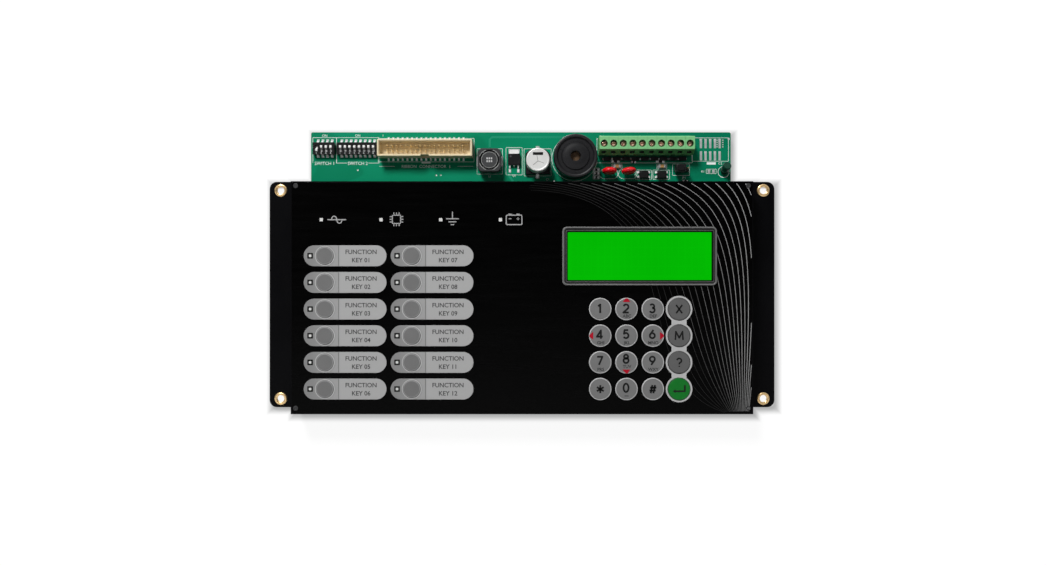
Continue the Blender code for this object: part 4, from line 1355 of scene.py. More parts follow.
def connector_tracks(track):
    """From the display, the header and the terminals to the controller."""
    port_x, port_y = CONTROLLER
    module_top = Space("display_module").y1
    for i, (x, y) in enumerate(module_pins()):
        bus = port_y + 1.5 + 0.7 * i
        level, middle = module_top - 5 - 0.9 * i, 14.0 + 0.7 * i
        track(0.28, (x, y), (x, level), (middle, level), (middle, bus), (port_x + 6.5, bus))
    header_low = Space("ribbon_header").y0
    for i, x in enumerate(header_columns()):
        level, middle = 60 - 0.9 * i, -22 + 0.75 * i
        track(0.28, (x, header_low - 3.2), (x, level), (middle, level), (middle, port_y + 6.5))
    for i, (x, y) in enumerate(terminal_pins()):
        level, middle = 58 - 1.6 * i, 3 - 1.0 * i + 10
        track(1.6 if i < 4 else 0.5, (x, y), (x, level), (middle, level), (middle, 47))


def make_tracks():
    """The back carries the key matrix and the lines to the controller; the front, short power tracks."""
    rear = Piece("rear_tracks")

    def track(width, *points):
        route(rear, width, REAR_COPPER, *points)

    for draw in (function_key_tracks, keypad_tracks, connector_tracks):
        draw(track)
    rear.finish()
    front = Piece("front_tracks")
    header_low = Space("ribbon_header").y0
    for x in header_columns():
        route(front, 0.3, COPPER, (x, header_low - 1.6), (x, header_low - 3.2))
    for width, *points in (
        (1.2, (-17.5, 80), (-17.5, 85.5), (24, 85.5), (24, 84)),
        (1.2, (-11, 70), (-8, 66), (-4, 60), (-4, 50)), (0.5, (88, 74), (88, 71), (92, 69)),
        (0.8, (41.5, 86.2), (91, 86.2), (93, 84)),
    ):
        route(front, width, COPPER, *points)
    front.finish()


def gull_lead(piece, x, y, angle, reach=1.3, width=0.4, base=BOARD_FRONT, up=1.0, height=0.9):
    """A bent lead from a package's side down to its pad, in that direction round z."""
    path = [(-0.2, height), (0.35 * reach, height), (0.55 * reach, 0.14), (reach, 0.14)]
    turn = turned_by(angle) if up > 0 else turned_by(angle) @ Matrix.Diagonal((1, 1, -1, 1))
    piece.add("lead_tin", band(path, 0.2, width), (x, y, base), turn)


def chip(piece, x, y, width, height, thickness, leads, pitch, base=BOARD_FRONT, up=1.0, sides="x"):
    """A moulded package with gull-wing leads on two sides, or on all four."""
    middle = base + up * (thickness / 2 + 0.12)
    piece.add("moulded_black", block(width, height, thickness, 0.18), (x, y, middle))
    dimple = (x - 0.32 * width, y + 0.32 * height, base + up * (thickness + 0.1))
    piece.add("moulded_grey", turned(((0, 0.03), (0.3, 0.03), (0.34, -0.02), (0, -0.02)), 14), dimple)
    for i in range(leads):
        offset = (i - (leads - 1) / 2) * pitch
        wide = 0.45 * pitch
        if "x" in sides:
            for side, angle in ((1, 0), (-1, 180)):
                gull_lead(piece, x + side * width / 2, y + offset, angle, 1.1, wide, base, up, thickness / 2)
        if "y" in sides:
            for side, angle in ((1, 90), (-1, 270)):
                gull_lead(
                    piece, x + offset, y + side * height / 2, angle, 1.1, wide, base, up, thickness / 2
                )


def two_terminal(piece, x, y, length, width, thickness, body, base=BOARD_FRONT, up=1.0, upright=False):
    """A chip part: a body between two tinned ends, each on its solder fillet."""
    turn = turned_by(90) if upright else None
    middle = base + up * (thickness / 2 + 0.03)
    piece.add(body, block(0.6 * length, width * 0.94, thickness * 0.94, 0.05), (x, y, middle), turn)
    for side in (-1, 1):
        offset = Vector((side * 0.39 * length, 0, 0))
        pad = Vector((side * 0.56 * length, 0, 0))
        if upright:
            offset, pad = offset.yxz, pad.yxz
        piece.add(
            "tin", block(0.24 * length, width, thickness, 0.06), (x + offset.x, y + offset.y, middle), turn
        )
        piece.add(
            "solder", block(0.3 * length, width * 1.05, 0.34, 0.14),
            (x + pad.x, y + pad.y, base + up * 0.12), turn,
        )


SMALL_CHIP = (2.0, 1.25, 0.55)
REAR_CHIPS = (  # x, y, width, height, thickness, leads on a side, their pitch; the printed outline's size
    ((*CONTROLLER, 10.0, 10.0, 1.4, 16, 0.5), (14, 14)),
    ((-22.0, 20.0, 4.0, 10.0, 1.5, 8, 1.27), (7.6, 11.5)),
    ((12.5, 31.0, 4.0, 5.0, 1.5, 4, 1.27), (7.6, 6.4)),
    ((-75.0, 47.0, 4.0, 10.0, 1.5, 8, 1.27), (7.6, 11.5)),
    ((20.0, -20.0, 4.0, 10.0, 1.5, 8, 1.27), (7.6, 11.5)),
    ((96.0, 52.0, 4.0, 5.0, 1.5, 4, 1.27), (7.6, 6.4)),
)


def make_rear_parts():
    """Controller, memory, drivers, crystal and rows of chip parts on the back of the board."""
    rear = Piece("rear_components")
    back = {"base": BOARD_BACK, "up": -1.0}
    for number, (package, _) in enumerate(REAR_CHIPS):
        chip(rear, *package, sides="x" if number else "xy", **back)
    rear.add("tin", block(11.0, 4.6, 3.0, 0.9, 3), (-3.0, 5.5, BOARD_BACK - 1.55))
    for i in range(12):
        body = "chip_black" if i % 3 else "chip_tan"
        two_terminal(rear, -20.0 + 3.4 * i, 36.0, *SMALL_CHIP, body, upright=True, **back)
    for i in range(6):
        two_terminal(rear, -12.0, 30.0 - 3.0 * i, *SMALL_CHIP, "chip_tan" if i % 2 else "chip_black", **back)
        two_terminal(rear, 28.0, -44.0 + 3.4 * i, *SMALL_CHIP, "chip_black", **back)
    for x, y in all_lamps():
        two_terminal(rear, x, y - 3.6, *SMALL_CHIP, "chip_black", **back)
    rear.finish()
    legend = Piece("rear_legend")
    for (x, y, *_), size in REAR_CHIPS:
        legend.add("silk_white", strip(rounded(x, y, *size, 0.3, 2), 0.18, *REAR_LEGEND, closed=True))
    for key in key_spaces():
        legend.add(
            "silk_white", strip(rounded(key.x, key.y, 8.6, 7.2, 0.4, 2), 0.16, *REAR_LEGEND, closed=True)
        )
    legend.finish()


THREAD_END = 9.6


def make_board_screws():
    """Cross-recessed pan heads on the back of the board, with their threaded shanks."""
    top = BOARD_BACK - 0.05
    for number in range(1, 5):
        screw = Space(f"board_screw_{number}")
        profile = (
            (0, screw.z1), (0.9, screw.z1), (1.2, screw.z1 - 0.4), (1.2, top), (2.7, top), (2.7, top - 0.5),
            (2.55, top - 1.1), (2.1, top - 1.7), (1.3, screw.z0 + 0.04), (0, screw.z0),
        )
        cross = [block(0.62, 3.0, 1.6, 0.05), block(3.0, 0.62, 1.6, 0.05)]
        head = carved(turned(profile, 32), *(c.placed((0, 0, screw.z0)) for c in cross))
        piece = Piece(f"board_screw_{number}_body")
        piece.add("zinc", head, screw.at(), turned_by(17 * number))
        for z in (top + 0.6 + 0.7 * i for i in range(9)):
            if z < THREAD_END:
                piece.add("zinc", turned(((1.19, z - 0.22), (1.42, z), (1.19, z + 0.22)), 20), screw.at())
        piece.finish(replaces=[f"board_screw_{number}"])


# ----------------------------------------------------------------------------------------- setting switches


SLOT_DEPTH = 1.42
SOLDER_Z = BOARD_FRONT + 0.08


def switch_housing(bank, body, sliders):
    """The black body with a slot for each lever, its numbers, and its leads on both sides."""
    slots = [block(1.5, 3.5, 2 * SLOT_DEPTH, 0.05).placed((s.x, body.y, body.z1)) for s in sliders]
    piece = Piece(f"{bank}_switch_housing")
    middle = (body.z0 + body.z1) / 2
    shell = block(body.width, body.height, body.depth, 0.22, 2).placed(body.at(z=middle))
    piece.add("moulded_black", carved(shell, *slots))
    piece.add("moulded_black", block(body.width - 0.6, 1.15, 0.16, 0.06), (body.x, body.y1 - 0.75, body.z1))
    for number, s in enumerate(sliders, start=1):
        # A white plate on each slot's floor: the lever's white skirt, made a little darker than the lever as
        # painted shade.
        piece.add("slider_shade", block(1.3, 3.2, 0.06, 0.02), (s.x, body.y, body.z1 - SLOT_DEPTH + 0.03))
        piece.add("silk_white", lettering(str(number), 0.95), (s.x, body.y0 + 0.72, body.z1))
        for side, angle, reach in ((1, 90, 1.75), (-1, 270, 1.2)):
            lead_x, lead_y = s.x + 0.35, body.y + side * body.height / 2
            gull_lead(piece, lead_x, lead_y, angle, reach, 1.1, height=1.6)
            solder = block(1.5, 1.2, 0.3, 0.12)
            piece.add("solder", solder, (lead_x, lead_y + side * (reach - 0.4), SOLDER_Z))
    piece.finish(replaces=[f"{bank}_switch_body"])


def make_switch_banks():
    for bank, count in (("address", 4), ("config", 8)):
        names = [f"{bank}_slider_{i}" for i in range(1, count + 1)]
        sliders = [Space(name) for name in names]
        switch_housing(bank, Space(f"{bank}_switch_body"), sliders)
        for name, s in zip(names, sliders):
            slider = Piece(f"{name}_cap")
            slider.add("slider_white", block(s.width, s.height, s.depth, 0.15, 2), s.at(z=(s.z0 + s.z1) / 2))
            slider.add("slider_white", block(s.width, s.height * 0.55, 0.3, 0.1, 2), s.at(z=s.z1 - 0.02))
            slider.finish(body=name, replaces=[name])


# ----------------------------------------------------------------------------------------------- connectors


def terminal_module(space, pitch, well_y):
    """One clamp module about x = 0, with a screw well above and a wire entry in its lower slope."""
    step_y, step_z, sill = space.y0 + 2.3, space.z1 - 3.6, space.y0 + 0.5
    section = [
        (space.y1, space.z0), (space.y1, space.z1 - 0.5), (space.y1 - 0.5, space.z1),
        (step_y + 0.25, space.z1), (step_y, space.z1 - 0.25), (sill + 0.2, step_z), (sill, step_z - 0.3),
        (sill, space.z0),
    ]
    sideways = Matrix(((0, 0, 1, 0), (1, 0, 0, 0), (0, 1, 0, 0), (0, 0, 0, 1)))
    body = prism(section, -pitch / 2 + 0.04, pitch / 2 - 0.04).placed(turn=sideways)
    well = prism(circle(0, well_y, 1.9, 28), space.z1 - 5.4, space.z1 + 1)
    mouth = block(2.6, 1.2, 6.0, 0.25, 2).placed((0, space.y0 + 1.35, step_z + 1.2))
    entry = block(3.4, 3.0, 3.4, 0.3, 2).placed((0, space.y0 + 0.6, space.z0 + 3.1))
    return carved(body, well, mouth, entry)


def make_terminal_block():
    """Ten clamp modules side by side on a spine and a foot, and their screws."""
    space = Space("terminal_block")
    pitch, well_y = space.width / TERMINALS, space.y0 + 5.6
    columns = [space.x0 + pitch * (i + 0.5) for i in range(TERMINALS)]
    module = terminal_module(space, pitch, well_y)
    # A dark green sleeve down each screw well: painted shade in the well.
    well_shade = turned(((1.92, 0.03), (1.92, -2.9), (1.76, -2.9), (1.84, 0.0)), 28)
    terminals = Piece("terminal_block_body")
    for x in columns:
        # Faces steeper than the slope take a darker green: painted shade on the lower slope, the sides and
        # the wells' walls.
        terminals.add("terminal_green", module, (x, 0, 0), edge="terminal_painted_shade", slope=0.66)
        # A black block deep in each wire entry: painted shade in the opening.
        terminals.add("moulded_black", block(2.56, 1.16, 0.5, 0.1), (x, space.y0 + 1.35, space.z1 - 3.9))
        terminals.add("terminal_shade", well_shade, (x, well_y, space.z1 - 0.2))
    spine = (space.x, space.y1 - 0.75, (space.z0 + space.z1) / 2)
    terminals.add("terminal_green", block(space.width - 0.4, 1.2, space.depth - 1.2, 0.1), spine)
    foot = block(space.width - 0.4, space.height - 1.0, 1.0, 0.1)
    terminals.add("terminal_green", foot, space.at(z=space.z0 + 0.6))
    terminals.finish(replaces=["terminal_block"])
    screws = Piece("terminal_screws")
    head = turned(((0, 1.15), (0.9, 1.1), (1.4, 0.85), (1.62, 0.45), (1.62, -2.2), (0, -2.2)), 28)
    slotted = carved(head, block(4.0, 0.6, 1.5, 0.05).placed((0, 0, 1.2)))
    dice = random.Random(4)
    for x in columns:
        screws.add("brass_screw", slotted, (x, well_y, space.z1 - 2.6), turned_by(dice.uniform(0, 180)))
        screws.add("tin", block(3.2, 3.6, 2.9, 0.25), (x, well_y, space.z0 + 3.1))
        screws.add("tin", block(0.9, 0.5, 4.4, 0.1), (x, space.y, BOARD_FRONT - 1.2))
    screws.finish()


def make_ribbon_header():
    """A shrouded header with a keyway, two rows of gilt pins and surface-mount leads."""
    space = Space("ribbon_header")
    wall, floor = 1.1, 7.6
    top = space.z1

    def inset(gap, radius):
        return rounded(space.x, space.y, space.width - gap, space.height - gap, radius, 3)

    outer, inner = inset(0, 0.35), inset(2 * wall, 0.2)
    keyway = block(4.6, 2.0, 2 * (top - space.z0 - 1.0), 0.05).placed((space.x, space.y0, top))
    rim = frame_ring([
        (outer, space.z0), (outer, top - 0.25), (inset(0.4, 0.3), top), (inset(2 * wall - 0.7, 0.2), top),
        (inner, top - 0.5), (inner, space.z0),
    ])
    header = Piece("ribbon_header_shroud")
    header.add("header_beige", carved(rim, keyway))
    # The floor inside the shroud is a separate copy of the beige, paler than the rim: painted light that
    # lifts the shade in the recess.
    bed = block(space.width - 2 * wall + 0.1, space.height - 2 * wall + 0.1, floor - space.z0, 0.02)
    header.add("header_floor_painted_light", bed, space.at(z=(floor + space.z0) / 2))
    for side in (-1, 1):
        rib = block(1.6, 0.5, space.depth - 1.0, 0.15)
        header.add("header_beige", rib, (space.x + side * 14.0, space.y0 - 0.1, (space.z0 + top) / 2))
    header.finish(replaces=["ribbon_header"])
    pins = Piece("ribbon_header_pins")
    for x in header_columns():
        for row, angle, reach in ((-1, 270, 1.1), (1, 90, 1.9)):
            pins.add(
                "pin_gilt", block(0.64, 0.64, 6.4, 0.16), (x, space.y + row * PIN_PITCH / 2, floor + 2.2)
            )
            lead_y = space.y + row * space.height / 2
            gull_lead(pins, x, lead_y, angle, reach, 0.75, height=0.75)
            pins.add(
                "solder", block(1.1, 1.1, 0.28, 0.1), (x, lead_y + row * (reach - 0.2), BOARD_FRONT + 0.06)
            )
    pins.finish()


# ------------------------------------------------------------------------------------ power and sound parts


def make_inductor():
    space = Space("power_inductor")
    low, top = space.z0, space.z1
    body = Piece("inductor_body")
    outline = rounded(space.x, space.y, space.width, space.height, 2.6, 8)
    core = circle(space.x, space.y, 5.2, 48)
    body.add("ferrite", sheet([outline, core], low + 0.5, top, 0.45))
    spool = (
        (0, top - 0.05), (3.9, top - 0.05), (4.3, top - 0.2), (4.5, top - 0.6), (4.5, low + 0.6),
        (0, low + 0.6),
    )
    body.add("ferrite_core", turned(spool, 48), space.at())
    # A pale ring on the core's rounded edge: painted highlight.
    body.add(
        "ferrite_painted_highlight", strip(circle(space.x, space.y, 4.25, 40), 0.22, top - 0.3, top - 0.12, closed=True)
    )
    gap = ((5.3, top - 1.2), (4.8, top - 1.2), (4.8, low + 1), (5.3, low + 1))
    body.add("moulded_black", turned(gap, 40), space.at())
    # Four pale arcs round the gap between core and frame: painted highlights.
    for start in (20, 110, 200, 290):
        glint = arc(space.x, space.y, 5.55, start, 50, 10)
        body.add("ferrite_painted_highlight", strip(glint, 0.3, top - 0.1, top + 0.02))
    for row in (0.75, -0.75):
        for i in range(3):
            body.add("print_pale", block(0.75, 1.0, 0.06, 0.02), space.at((i - 1) * 1.15, row, top - 0.04))
    for angle in (52, 128, 232, 308):
        x, y = 5.02 * math.cos(math.radians(angle)), 5.02 * math.sin(math.radians(angle))
        body.add("tin", block(0.7, 0.28, 0.5, 0.1), space.at(x, y, top - 0.85), turned_by(angle + 90))
    for side in (-1, 1):
        body.add("tin", block(1.6, 5.2, 0.5, 0.12), space.at(side * (space.width / 2 - 0.5), 0, low + 0.28))
        body.add("solder", block(1.4, 5.6, 0.3, 0.12), space.at(side * (space.width / 2 + 0.3), 0, SOLDER_Z))
    body.finish(replaces=["power_inductor"])


def make_regulator():
    space = Space("voltage_regulator")
    part = Piece("regulator_body")
    body_top = space.y1 - 2.45
    centre_y = body_top - 3.05
    part.add("moulded_black", block(6.6, 6.1, 2.1, 0.25, 2), (space.x, centre_y, space.z0 + 1.2))
    dimple = turned(((0, 0.02), (0.55, 0.02), (0.6, -0.05), (0, -0.05)), 20)
    part.add("moulded_grey", dimple, (space.x - 1.9, centre_y + 1.6, space.z0 + 2.25))
    tab = [(-2.6, 0), (-2.6, 1.6), (-2.0, 2.4), (2.0, 2.4), (2.6, 1.6), (2.6, 0)]
    part.add(
        "lead_tin", prism([(space.x + x, body_top - 0.2 + y) for x, y in tab], space.z0, space.z0 + 0.6)
    )
    part.add("solder", block(6.0, 3.0, 0.3, 0.12), (space.x, body_top + 1.3, BOARD_FRONT + 0.1))
    for dx, reach in ((-2.3, 3.6), (0, 0.9), (2.3, 3.6)):
        gull_lead(part, space.x + dx, centre_y - 3.0, 270, reach, 0.8, height=1.2)
        if dx:
            part.add("solder", block(1.4, 2.2, 0.3, 0.12), (space.x + dx, centre_y - 6.0, SOLDER_Z))
    part.finish(replaces=["voltage_regulator"])


def make_capacitor():
    """A vertical can with a beaded foot on a square base with two cut corners."""
    space = Space("smoothing_capacitor")
    radius, top, base_top = 6.25, space.z1, space.z0 + 2.2
    half, cut = space.width / 2, space.width / 2 - 2.2
    part = Piece("capacitor_can")
    base = [(-half, -half), (half, -half), (half, cut), (cut, half), (-cut, half), (-half, cut)]
    outline = [(space.x + x, space.y + y) for x, y in base]
    part.add("moulded_black", sheet([outline], space.z0, base_top, 0.2))
    profile = (
        (0, top - 0.12), (radius - 1.1, top - 0.12), (radius - 0.75, top), (radius - 0.35, top - 0.05),
        (radius - 0.08, top - 0.3), (radius, top - 0.7), (radius, base_top + 2.0),
        (radius - 0.35, base_top + 1.6), (radius - 0.35, base_top + 1.2), (radius, base_top + 0.8),
        (radius, base_top - 0.3), (0, base_top - 0.3),
    )
    part.add("aluminium", turned(profile, 64), space.at())
    mark = (top - 0.2, top - 0.09)
    part.add("legend_black", prism(rounded(space.x, space.y + 3.1, 5.4, 1.5, 0.1, 2), *mark))
    x, y = space.x, space.y - 0.8
    for angle in (100, 220, 340):
        dx, dy = 4.2 * math.cos(math.radians(angle)), 4.2 * math.sin(math.radians(angle))
        part.add("aluminium_score", line(x, y, x + dx * 0.8, y + dy * 0.8, 0.22, *mark))
    for side in (1, -1):
        part.add("tin", block(1.3, 2.4, 0.4, 0.1), space.at(0, side * (half + 0.7), BOARD_FRONT + 0.25))
        part.add("solder", block(2.0, 2.2, 0.3, 0.12), space.at(0, side * (half + 1.1), SOLDER_Z))
    part.finish(replaces=["smoothing_capacitor"])


def make_sounder():
    """A moulded sounder: rounded rim, sunken ring, raised middle and a deep sound hole."""
    space = Space("sounder")
    radius, top, low = space.width / 2, space.z1, space.z0
    profile = (
        (0, top - 5.2), (2.6, top - 5.2), (2.7, top - 0.6), (3.0, top - 0.32), (5.6, top - 0.3),
        (6.0, top - 0.42), (7.1, top - 0.45), (7.4, top - 0.7), (7.6, top - 1.2), (9.3, top - 1.25),
        (9.75, top - 0.9), (10.0, top - 0.25), (10.5, top), (11.1, top - 0.05), (11.45, top - 0.35),
        (radius, top - 0.9), (radius, top - 6.0), (radius - 0.25, top - 6.3), (radius - 0.25, low + 0.4),
        (radius - 0.6, low), (0, low),
    )
    part = Piece("sounder_body")
    part.add("sounder_black", turned(profile, 72), space.at())
    disc = ((0, top - 4.2), (2.45, top - 4.35), (2.55, top - 5.3), (0, top - 5.3))
    part.add("brass_dark", turned(disc, 32), space.at())
    stud = turned(((0, 0.25), (0.35, 0.2), (0.45, 0), (0, 0)), 12)
    for angle in (35, 155, 275):
        x, y = 8.5 * math.cos(math.radians(angle)), 8.5 * math.sin(math.radians(angle))
        part.add("sounder_black", stud, space.at(x, y, top - 1.25))
    part.finish(replaces=["sounder"])


def make_surge_discs():
    """Red dipped discs that lean a little on two wire leads."""
    for number in (1, 2):
        space = Space(f"surge_disc_{number}")
        radius, thick = space.width / 2, 3.5
        steps = 12
        profile = []
        for i in range(steps + 1):
            angle = math.pi * i / steps
            bulge = max(math.sin(angle), 0) ** 0.8
            profile.append((radius * bulge if 0 < i < steps else 0, thick / 2 * math.cos(angle)))
        middle = space.z1 - radius
        disc = Piece(f"surge_disc_{number}_body")
        lean = turned_by(6 if number == 2 else 0) @ turned_by(78, "X")
        disc.add("red_epoxy", turned(tuple(profile), 40), space.at(z=middle), lean)
        collar = turned(((0, 0.9), (0.42, 0.7), (0.55, 0), (0.4, -0.9), (0, -1.1)), 14)
        for side in (-1, 1):
            wire = [
                space.at(side * 2.5, 0, BOARD_FRONT - 1.5), space.at(side * 2.5, 0, BOARD_FRONT + 0.8),
                space.at(side * 2.2, 0, middle - 2.6), space.at(side * 1.6, 0, middle - 1.0),
            ]
            disc.add("tin", tube(wire, 0.3))
            disc.add("red_epoxy", collar, space.at(side * 2.25, 0, middle - 3.1))
        disc.finish(replaces=[f"surge_disc_{number}"])


COUPLERS = ((65.9, 65.1), (75.6, 65.1))
TAN_PARTS = ((51.5, 69.6), (75.9, 69.6))
RESISTORS = ((40.3, 63.6), (40.3, 65.7), (40.3, 67.8))


def make_small_parts():
    """Optocouplers, tantalum and chip parts along the board's top strip, and the parts below."""
    small = Piece("small_components")
    for x, y in COUPLERS:
        chip(small, x, y, 4.9, 3.9, 2.0, 2, PIN_PITCH)
    for x, y in TAN_PARTS:
        two_terminal(small, x, y, 3.5, 1.7, 1.7, "chip_tan")
        two_terminal(small, x - 0.9, y + 2.7, 3.4, 1.6, 1.1, "moulded_black")
    for x, y in RESISTORS:
        two_terminal(small, x, y, 2.2, 1.3, 0.55, "chip_black")
    for x, y in ((60.5, 71.9), (88.6, 61.6)):
        two_terminal(small, x, y, 2.0, 1.25, 0.6, "chip_black")
    terminals = Space("terminal_block")
    # A row of black chip parts under the terminal block; they also stand in for the block's shadow on the
    # board, so they are partly painted shade.
    for i in range(1, TERMINALS):
        x, y = terminals.x0 + TERMINAL_PITCH * i, terminals.y0 - 1.35
        small.add("moulded_black", block(4.2, 2.1, 1.8, 0.2), (x, y, BOARD_FRONT + 1.0))
        for side in (-1, 1):
            small.add("tin", block(0.5, 1.1, 0.5, 0.1), (x + side * 2.2, y, BOARD_FRONT + 0.35))
    jumper(small)
    radial_capacitor(small)
    small.finish()


def jumper(piece):
    """Three pins in a base, with a push-on jumper over two of them."""
    x, y = JUMPER
    piece.add("moulded_black", block(7.6, 2.5, 2.5, 0.2), (x, y, BOARD_FRONT + 1.3))
    for dx in (-PIN_PITCH, 0, PIN_PITCH):
        piece.add("gold", block(0.64, 0.64, 9.0, 0.15), (x + dx, y, BOARD_FRONT + 4.2))
    piece.add("moulded_black", block(5.2, 4.2, 6.6, 0.35, 2), (x - PIN_PITCH / 2, y, BOARD_FRONT + 5.9))
    piece.add("moulded_black", block(3.4, 3.0, 0.8, 0.25), (x - PIN_PITCH / 2, y, BOARD_FRONT + 9.4))


def radial_capacitor(piece):
    """A small sleeved can that leans on its two leads."""
    x, y = RADIAL
    lean = Matrix.Translation((x, y, BOARD_FRONT)) @ turned_by(-14) @ turned_by(-22, "X")
    sleeve = (
        (0, 7.4), (1.5, 7.4), (1.65, 7.55), (2.0, 7.5), (2.2, 7.2), (2.2, 2.6), (2.0, 2.3), (2.2, 2.0),
        (2.2, 1.3), (1.9, 1.1), (0, 1.1),
    )
    piece.add("sleeve_green", turned(sleeve, 40), turn=lean)
    piece.add("sleeve_green", turned(((0, 7.5), (1.48, 7.5), (1.48, 7.3), (0, 7.3)), 32), turn=lean)
    piece.add("moulded_black", turned(((0, 1.2), (1.8, 1.2), (1.8, 0.8), (0, 0.8)), 24), turn=lean)
    for side in (-1.25, 1.25):
        piece.add("tin", tube([(x + side, y, BOARD_FRONT - 1.2), (x + side, y, BOARD_FRONT + 1.4)], 0.28))


def outline_mark(piece, x, y, width, height, thick=0.2, radius=0.2):
    piece.add("silk_white", strip(rounded(x, y, width, height, radius, 1), thick, *LEGEND, closed=True))


def make_front_legend():
    """White board printing: part outlines and plain designators. Bare pads sit in the unused footprints."""
    silk = Piece("board_legend")
    z = BOARD_FRONT + 0.03

    def mark(text, x, y, size=1.3):
        silk.add("silk_white", lettering(text, size), (x, y, z))

    address, config = Space("address_switch_body"), Space("config_switch_body")
    for bank, name in ((address, "SWITCH 1"), (config, "SWITCH 2")):
        half, top, low = bank.width / 2 + 0.6, bank.y + 6.2, bank.y - 7.6
        corner = [(bank.x - half, low), (bank.x - half, top), (bank.x + half, top), (bank.x + half, low)]
        silk.add("silk_white", stroke(corner, 0.2, *LEGEND))
        mark("ON", bank.x, bank.y + 7.35, 1.35)
        mark(name, bank.x, bank.y - 7.7, 1.75)
        if bank is config:
            for side in (-1, 1):
                silk.add(
                    "silk_white",
                    line(bank.x + side * 5.8, low, bank.x + side * (half + 0.1), low, 0.22, *LEGEND),
                )
    header = Space("ribbon_header")
    outline_mark(silk, header.x, header.y - 0.2, header.width + 1.2, header.height + 3.6)
    for low, high in ((header.x0, header.x - 17), (header.x + 17, header.x1)):
        silk.add("silk_white", line(low, header.y0 - 4.4, high, header.y0 - 4.4, 0.2, *LEGEND))
    silk.add("silk_white", prism(rounded(header.x, header.y0 - 2.3, 4.9, 1.1, 0.1, 1), *LEGEND))
    mark("RIBBON  CONNECTOR  1", header.x, header.y0 - 4.4, 1.7)
    mark("1", header.x0 + 2.0, header.y1 + 3.2, 1.2)
    for node, name, pad, drop in (
        ("power_inductor", "L1", 1.3, 1.7), ("voltage_regulator", "U1", 2.2, 1.5),
        ("smoothing_capacitor", "C1", 1.5, 2.6),
    ):
        part = Space(node)
        outline_mark(silk, part.x, part.y, part.width + pad, part.height + pad)
        mark(name, part.x + (5.5 if node == "smoothing_capacitor" else 0), part.y0 - drop, 1.2)
    sounder = Space("sounder")
    silk.add(
        "silk_white",
        strip(circle(sounder.x, sounder.y, sounder.width / 2 + 0.6, 64), 0.2, *LEGEND, closed=True),
    )
    block_space = Space("terminal_block")
    outline_mark(silk, block_space.x, block_space.y - 1.6, block_space.width + 1.0, block_space.height + 3.8)
    for text, x in (
        ("TB1", block_space.x0 + 2.2), ("5", block_space.x - 5.08 / 2), ("10", block_space.x1 - 1.6)
    ):
        mark(text, x, block_space.y1 + 1.25, 1.1)
    for number in (1, 2):
        disc = Space(f"surge_disc_{number}")
        silk.add(
            "silk_white", strip(rounded(disc.x, disc.y - 1.0, 10.0, 5.2, 2.5, 6), 0.22, *LEGEND, closed=True)
        )
    for x in (65.9, 75.6):
        outline_mark(silk, x, 65.1, 9.0, 5.0)
    for y in (63.6, 65.7, 67.8):
        outline_mark(silk, 40.3, y, 3.6, 1.8)
    for x in (51.5, 75.9):
        outline_mark(silk, x, 69.6, 5.6, 2.6)
    outline_mark(silk, JUMPER[0], JUMPER[1], 9.2, 6.2)
    mark("JP1", JUMPER[0] + 1.6, JUMPER[1] - 4.3, 1.3)
    outline_mark(silk, 102.15, 78.75, 19.8, 12.7)
    silk.add("silk_white", prism(rounded(102.7, 71.2, 4.9, 1.3, 0.1, 1), *LEGEND))
    outline_mark(silk, 102.7, 66.9, 5.4, 2.4)
    silk.add("silk_white", strip(circle(*RADIAL, 3.0, 40), 0.3, *LEGEND, closed=True))
    mark("C2", 107.6, 71.3, 1.3)
    mark("R1", 98.2, 66.9, 1.2)
    pads = Piece("bare_pads")
    for i in range(5):
        x = 97.1 + 2.54 * i
        pads.add("solder", block(1.2, 5.1, 0.16, 0.07, 2), (x, 82.0, BOARD_FRONT + 0.05))
        pads.add("solder", block(1.2, 5.0, 0.16, 0.07, 2), (x, 75.3, BOARD_FRONT + 0.05))
    for x in (105.9, 109.0):
        for i in range(4):
            pads.add("solder", block(0.7, 0.6, 0.14, 0.05, 2), (x, 80.2 + 1.2 * i, BOARD_FRONT + 0.05))
    for dx in (-1.2, 1.2):
        pads.add("solder", block(1.4, 1.7, 0.14, 0.06, 2), (102.7 + dx, 66.9, BOARD_FRONT + 0.05))
    for x, y in ((112.2, 84.5),):
        pads.add("solder", turned(((0, 0.08), (0.5, 0.08), (0.6, 0.0), (0, 0)), 20), (x, y, BOARD_FRONT))
    silk.finish()
    pads.finish()


# ---------------------------------------------------------------------------------------------------- stage


FLOOR_DROP = 0.17
FLOOR_GLOW = 0.35
WALL_GLOW = (0.42, 0.93)  # at the unit's outline, and away from it
WALL_GAP = 1.5
SHADE_REACH = 3.8
SHADE_DRIFT = 1.2
WORLD_TONE = 0.15
KEY_POWER = 22.0
CAMERA_DISTANCE = 500.0
FRAME_WIDTH = 554.0
CAMERA_XY = (0.8, 6.3)


def on_wall(x0, y0, x1, y1, z):
    """An outline at that height, in mm, as the camera sees it against the wall."""
    reach = (CAMERA_DISTANCE + FILM_FRONT + WALL_GAP) / (CAMERA_DISTANCE + FILM_FRONT - z)
    x, y = CAMERA_XY
    return x + reach * (x0 - x), y + reach * (y0 - y), x + reach * (x1 - x), y + reach * (y1 - y)


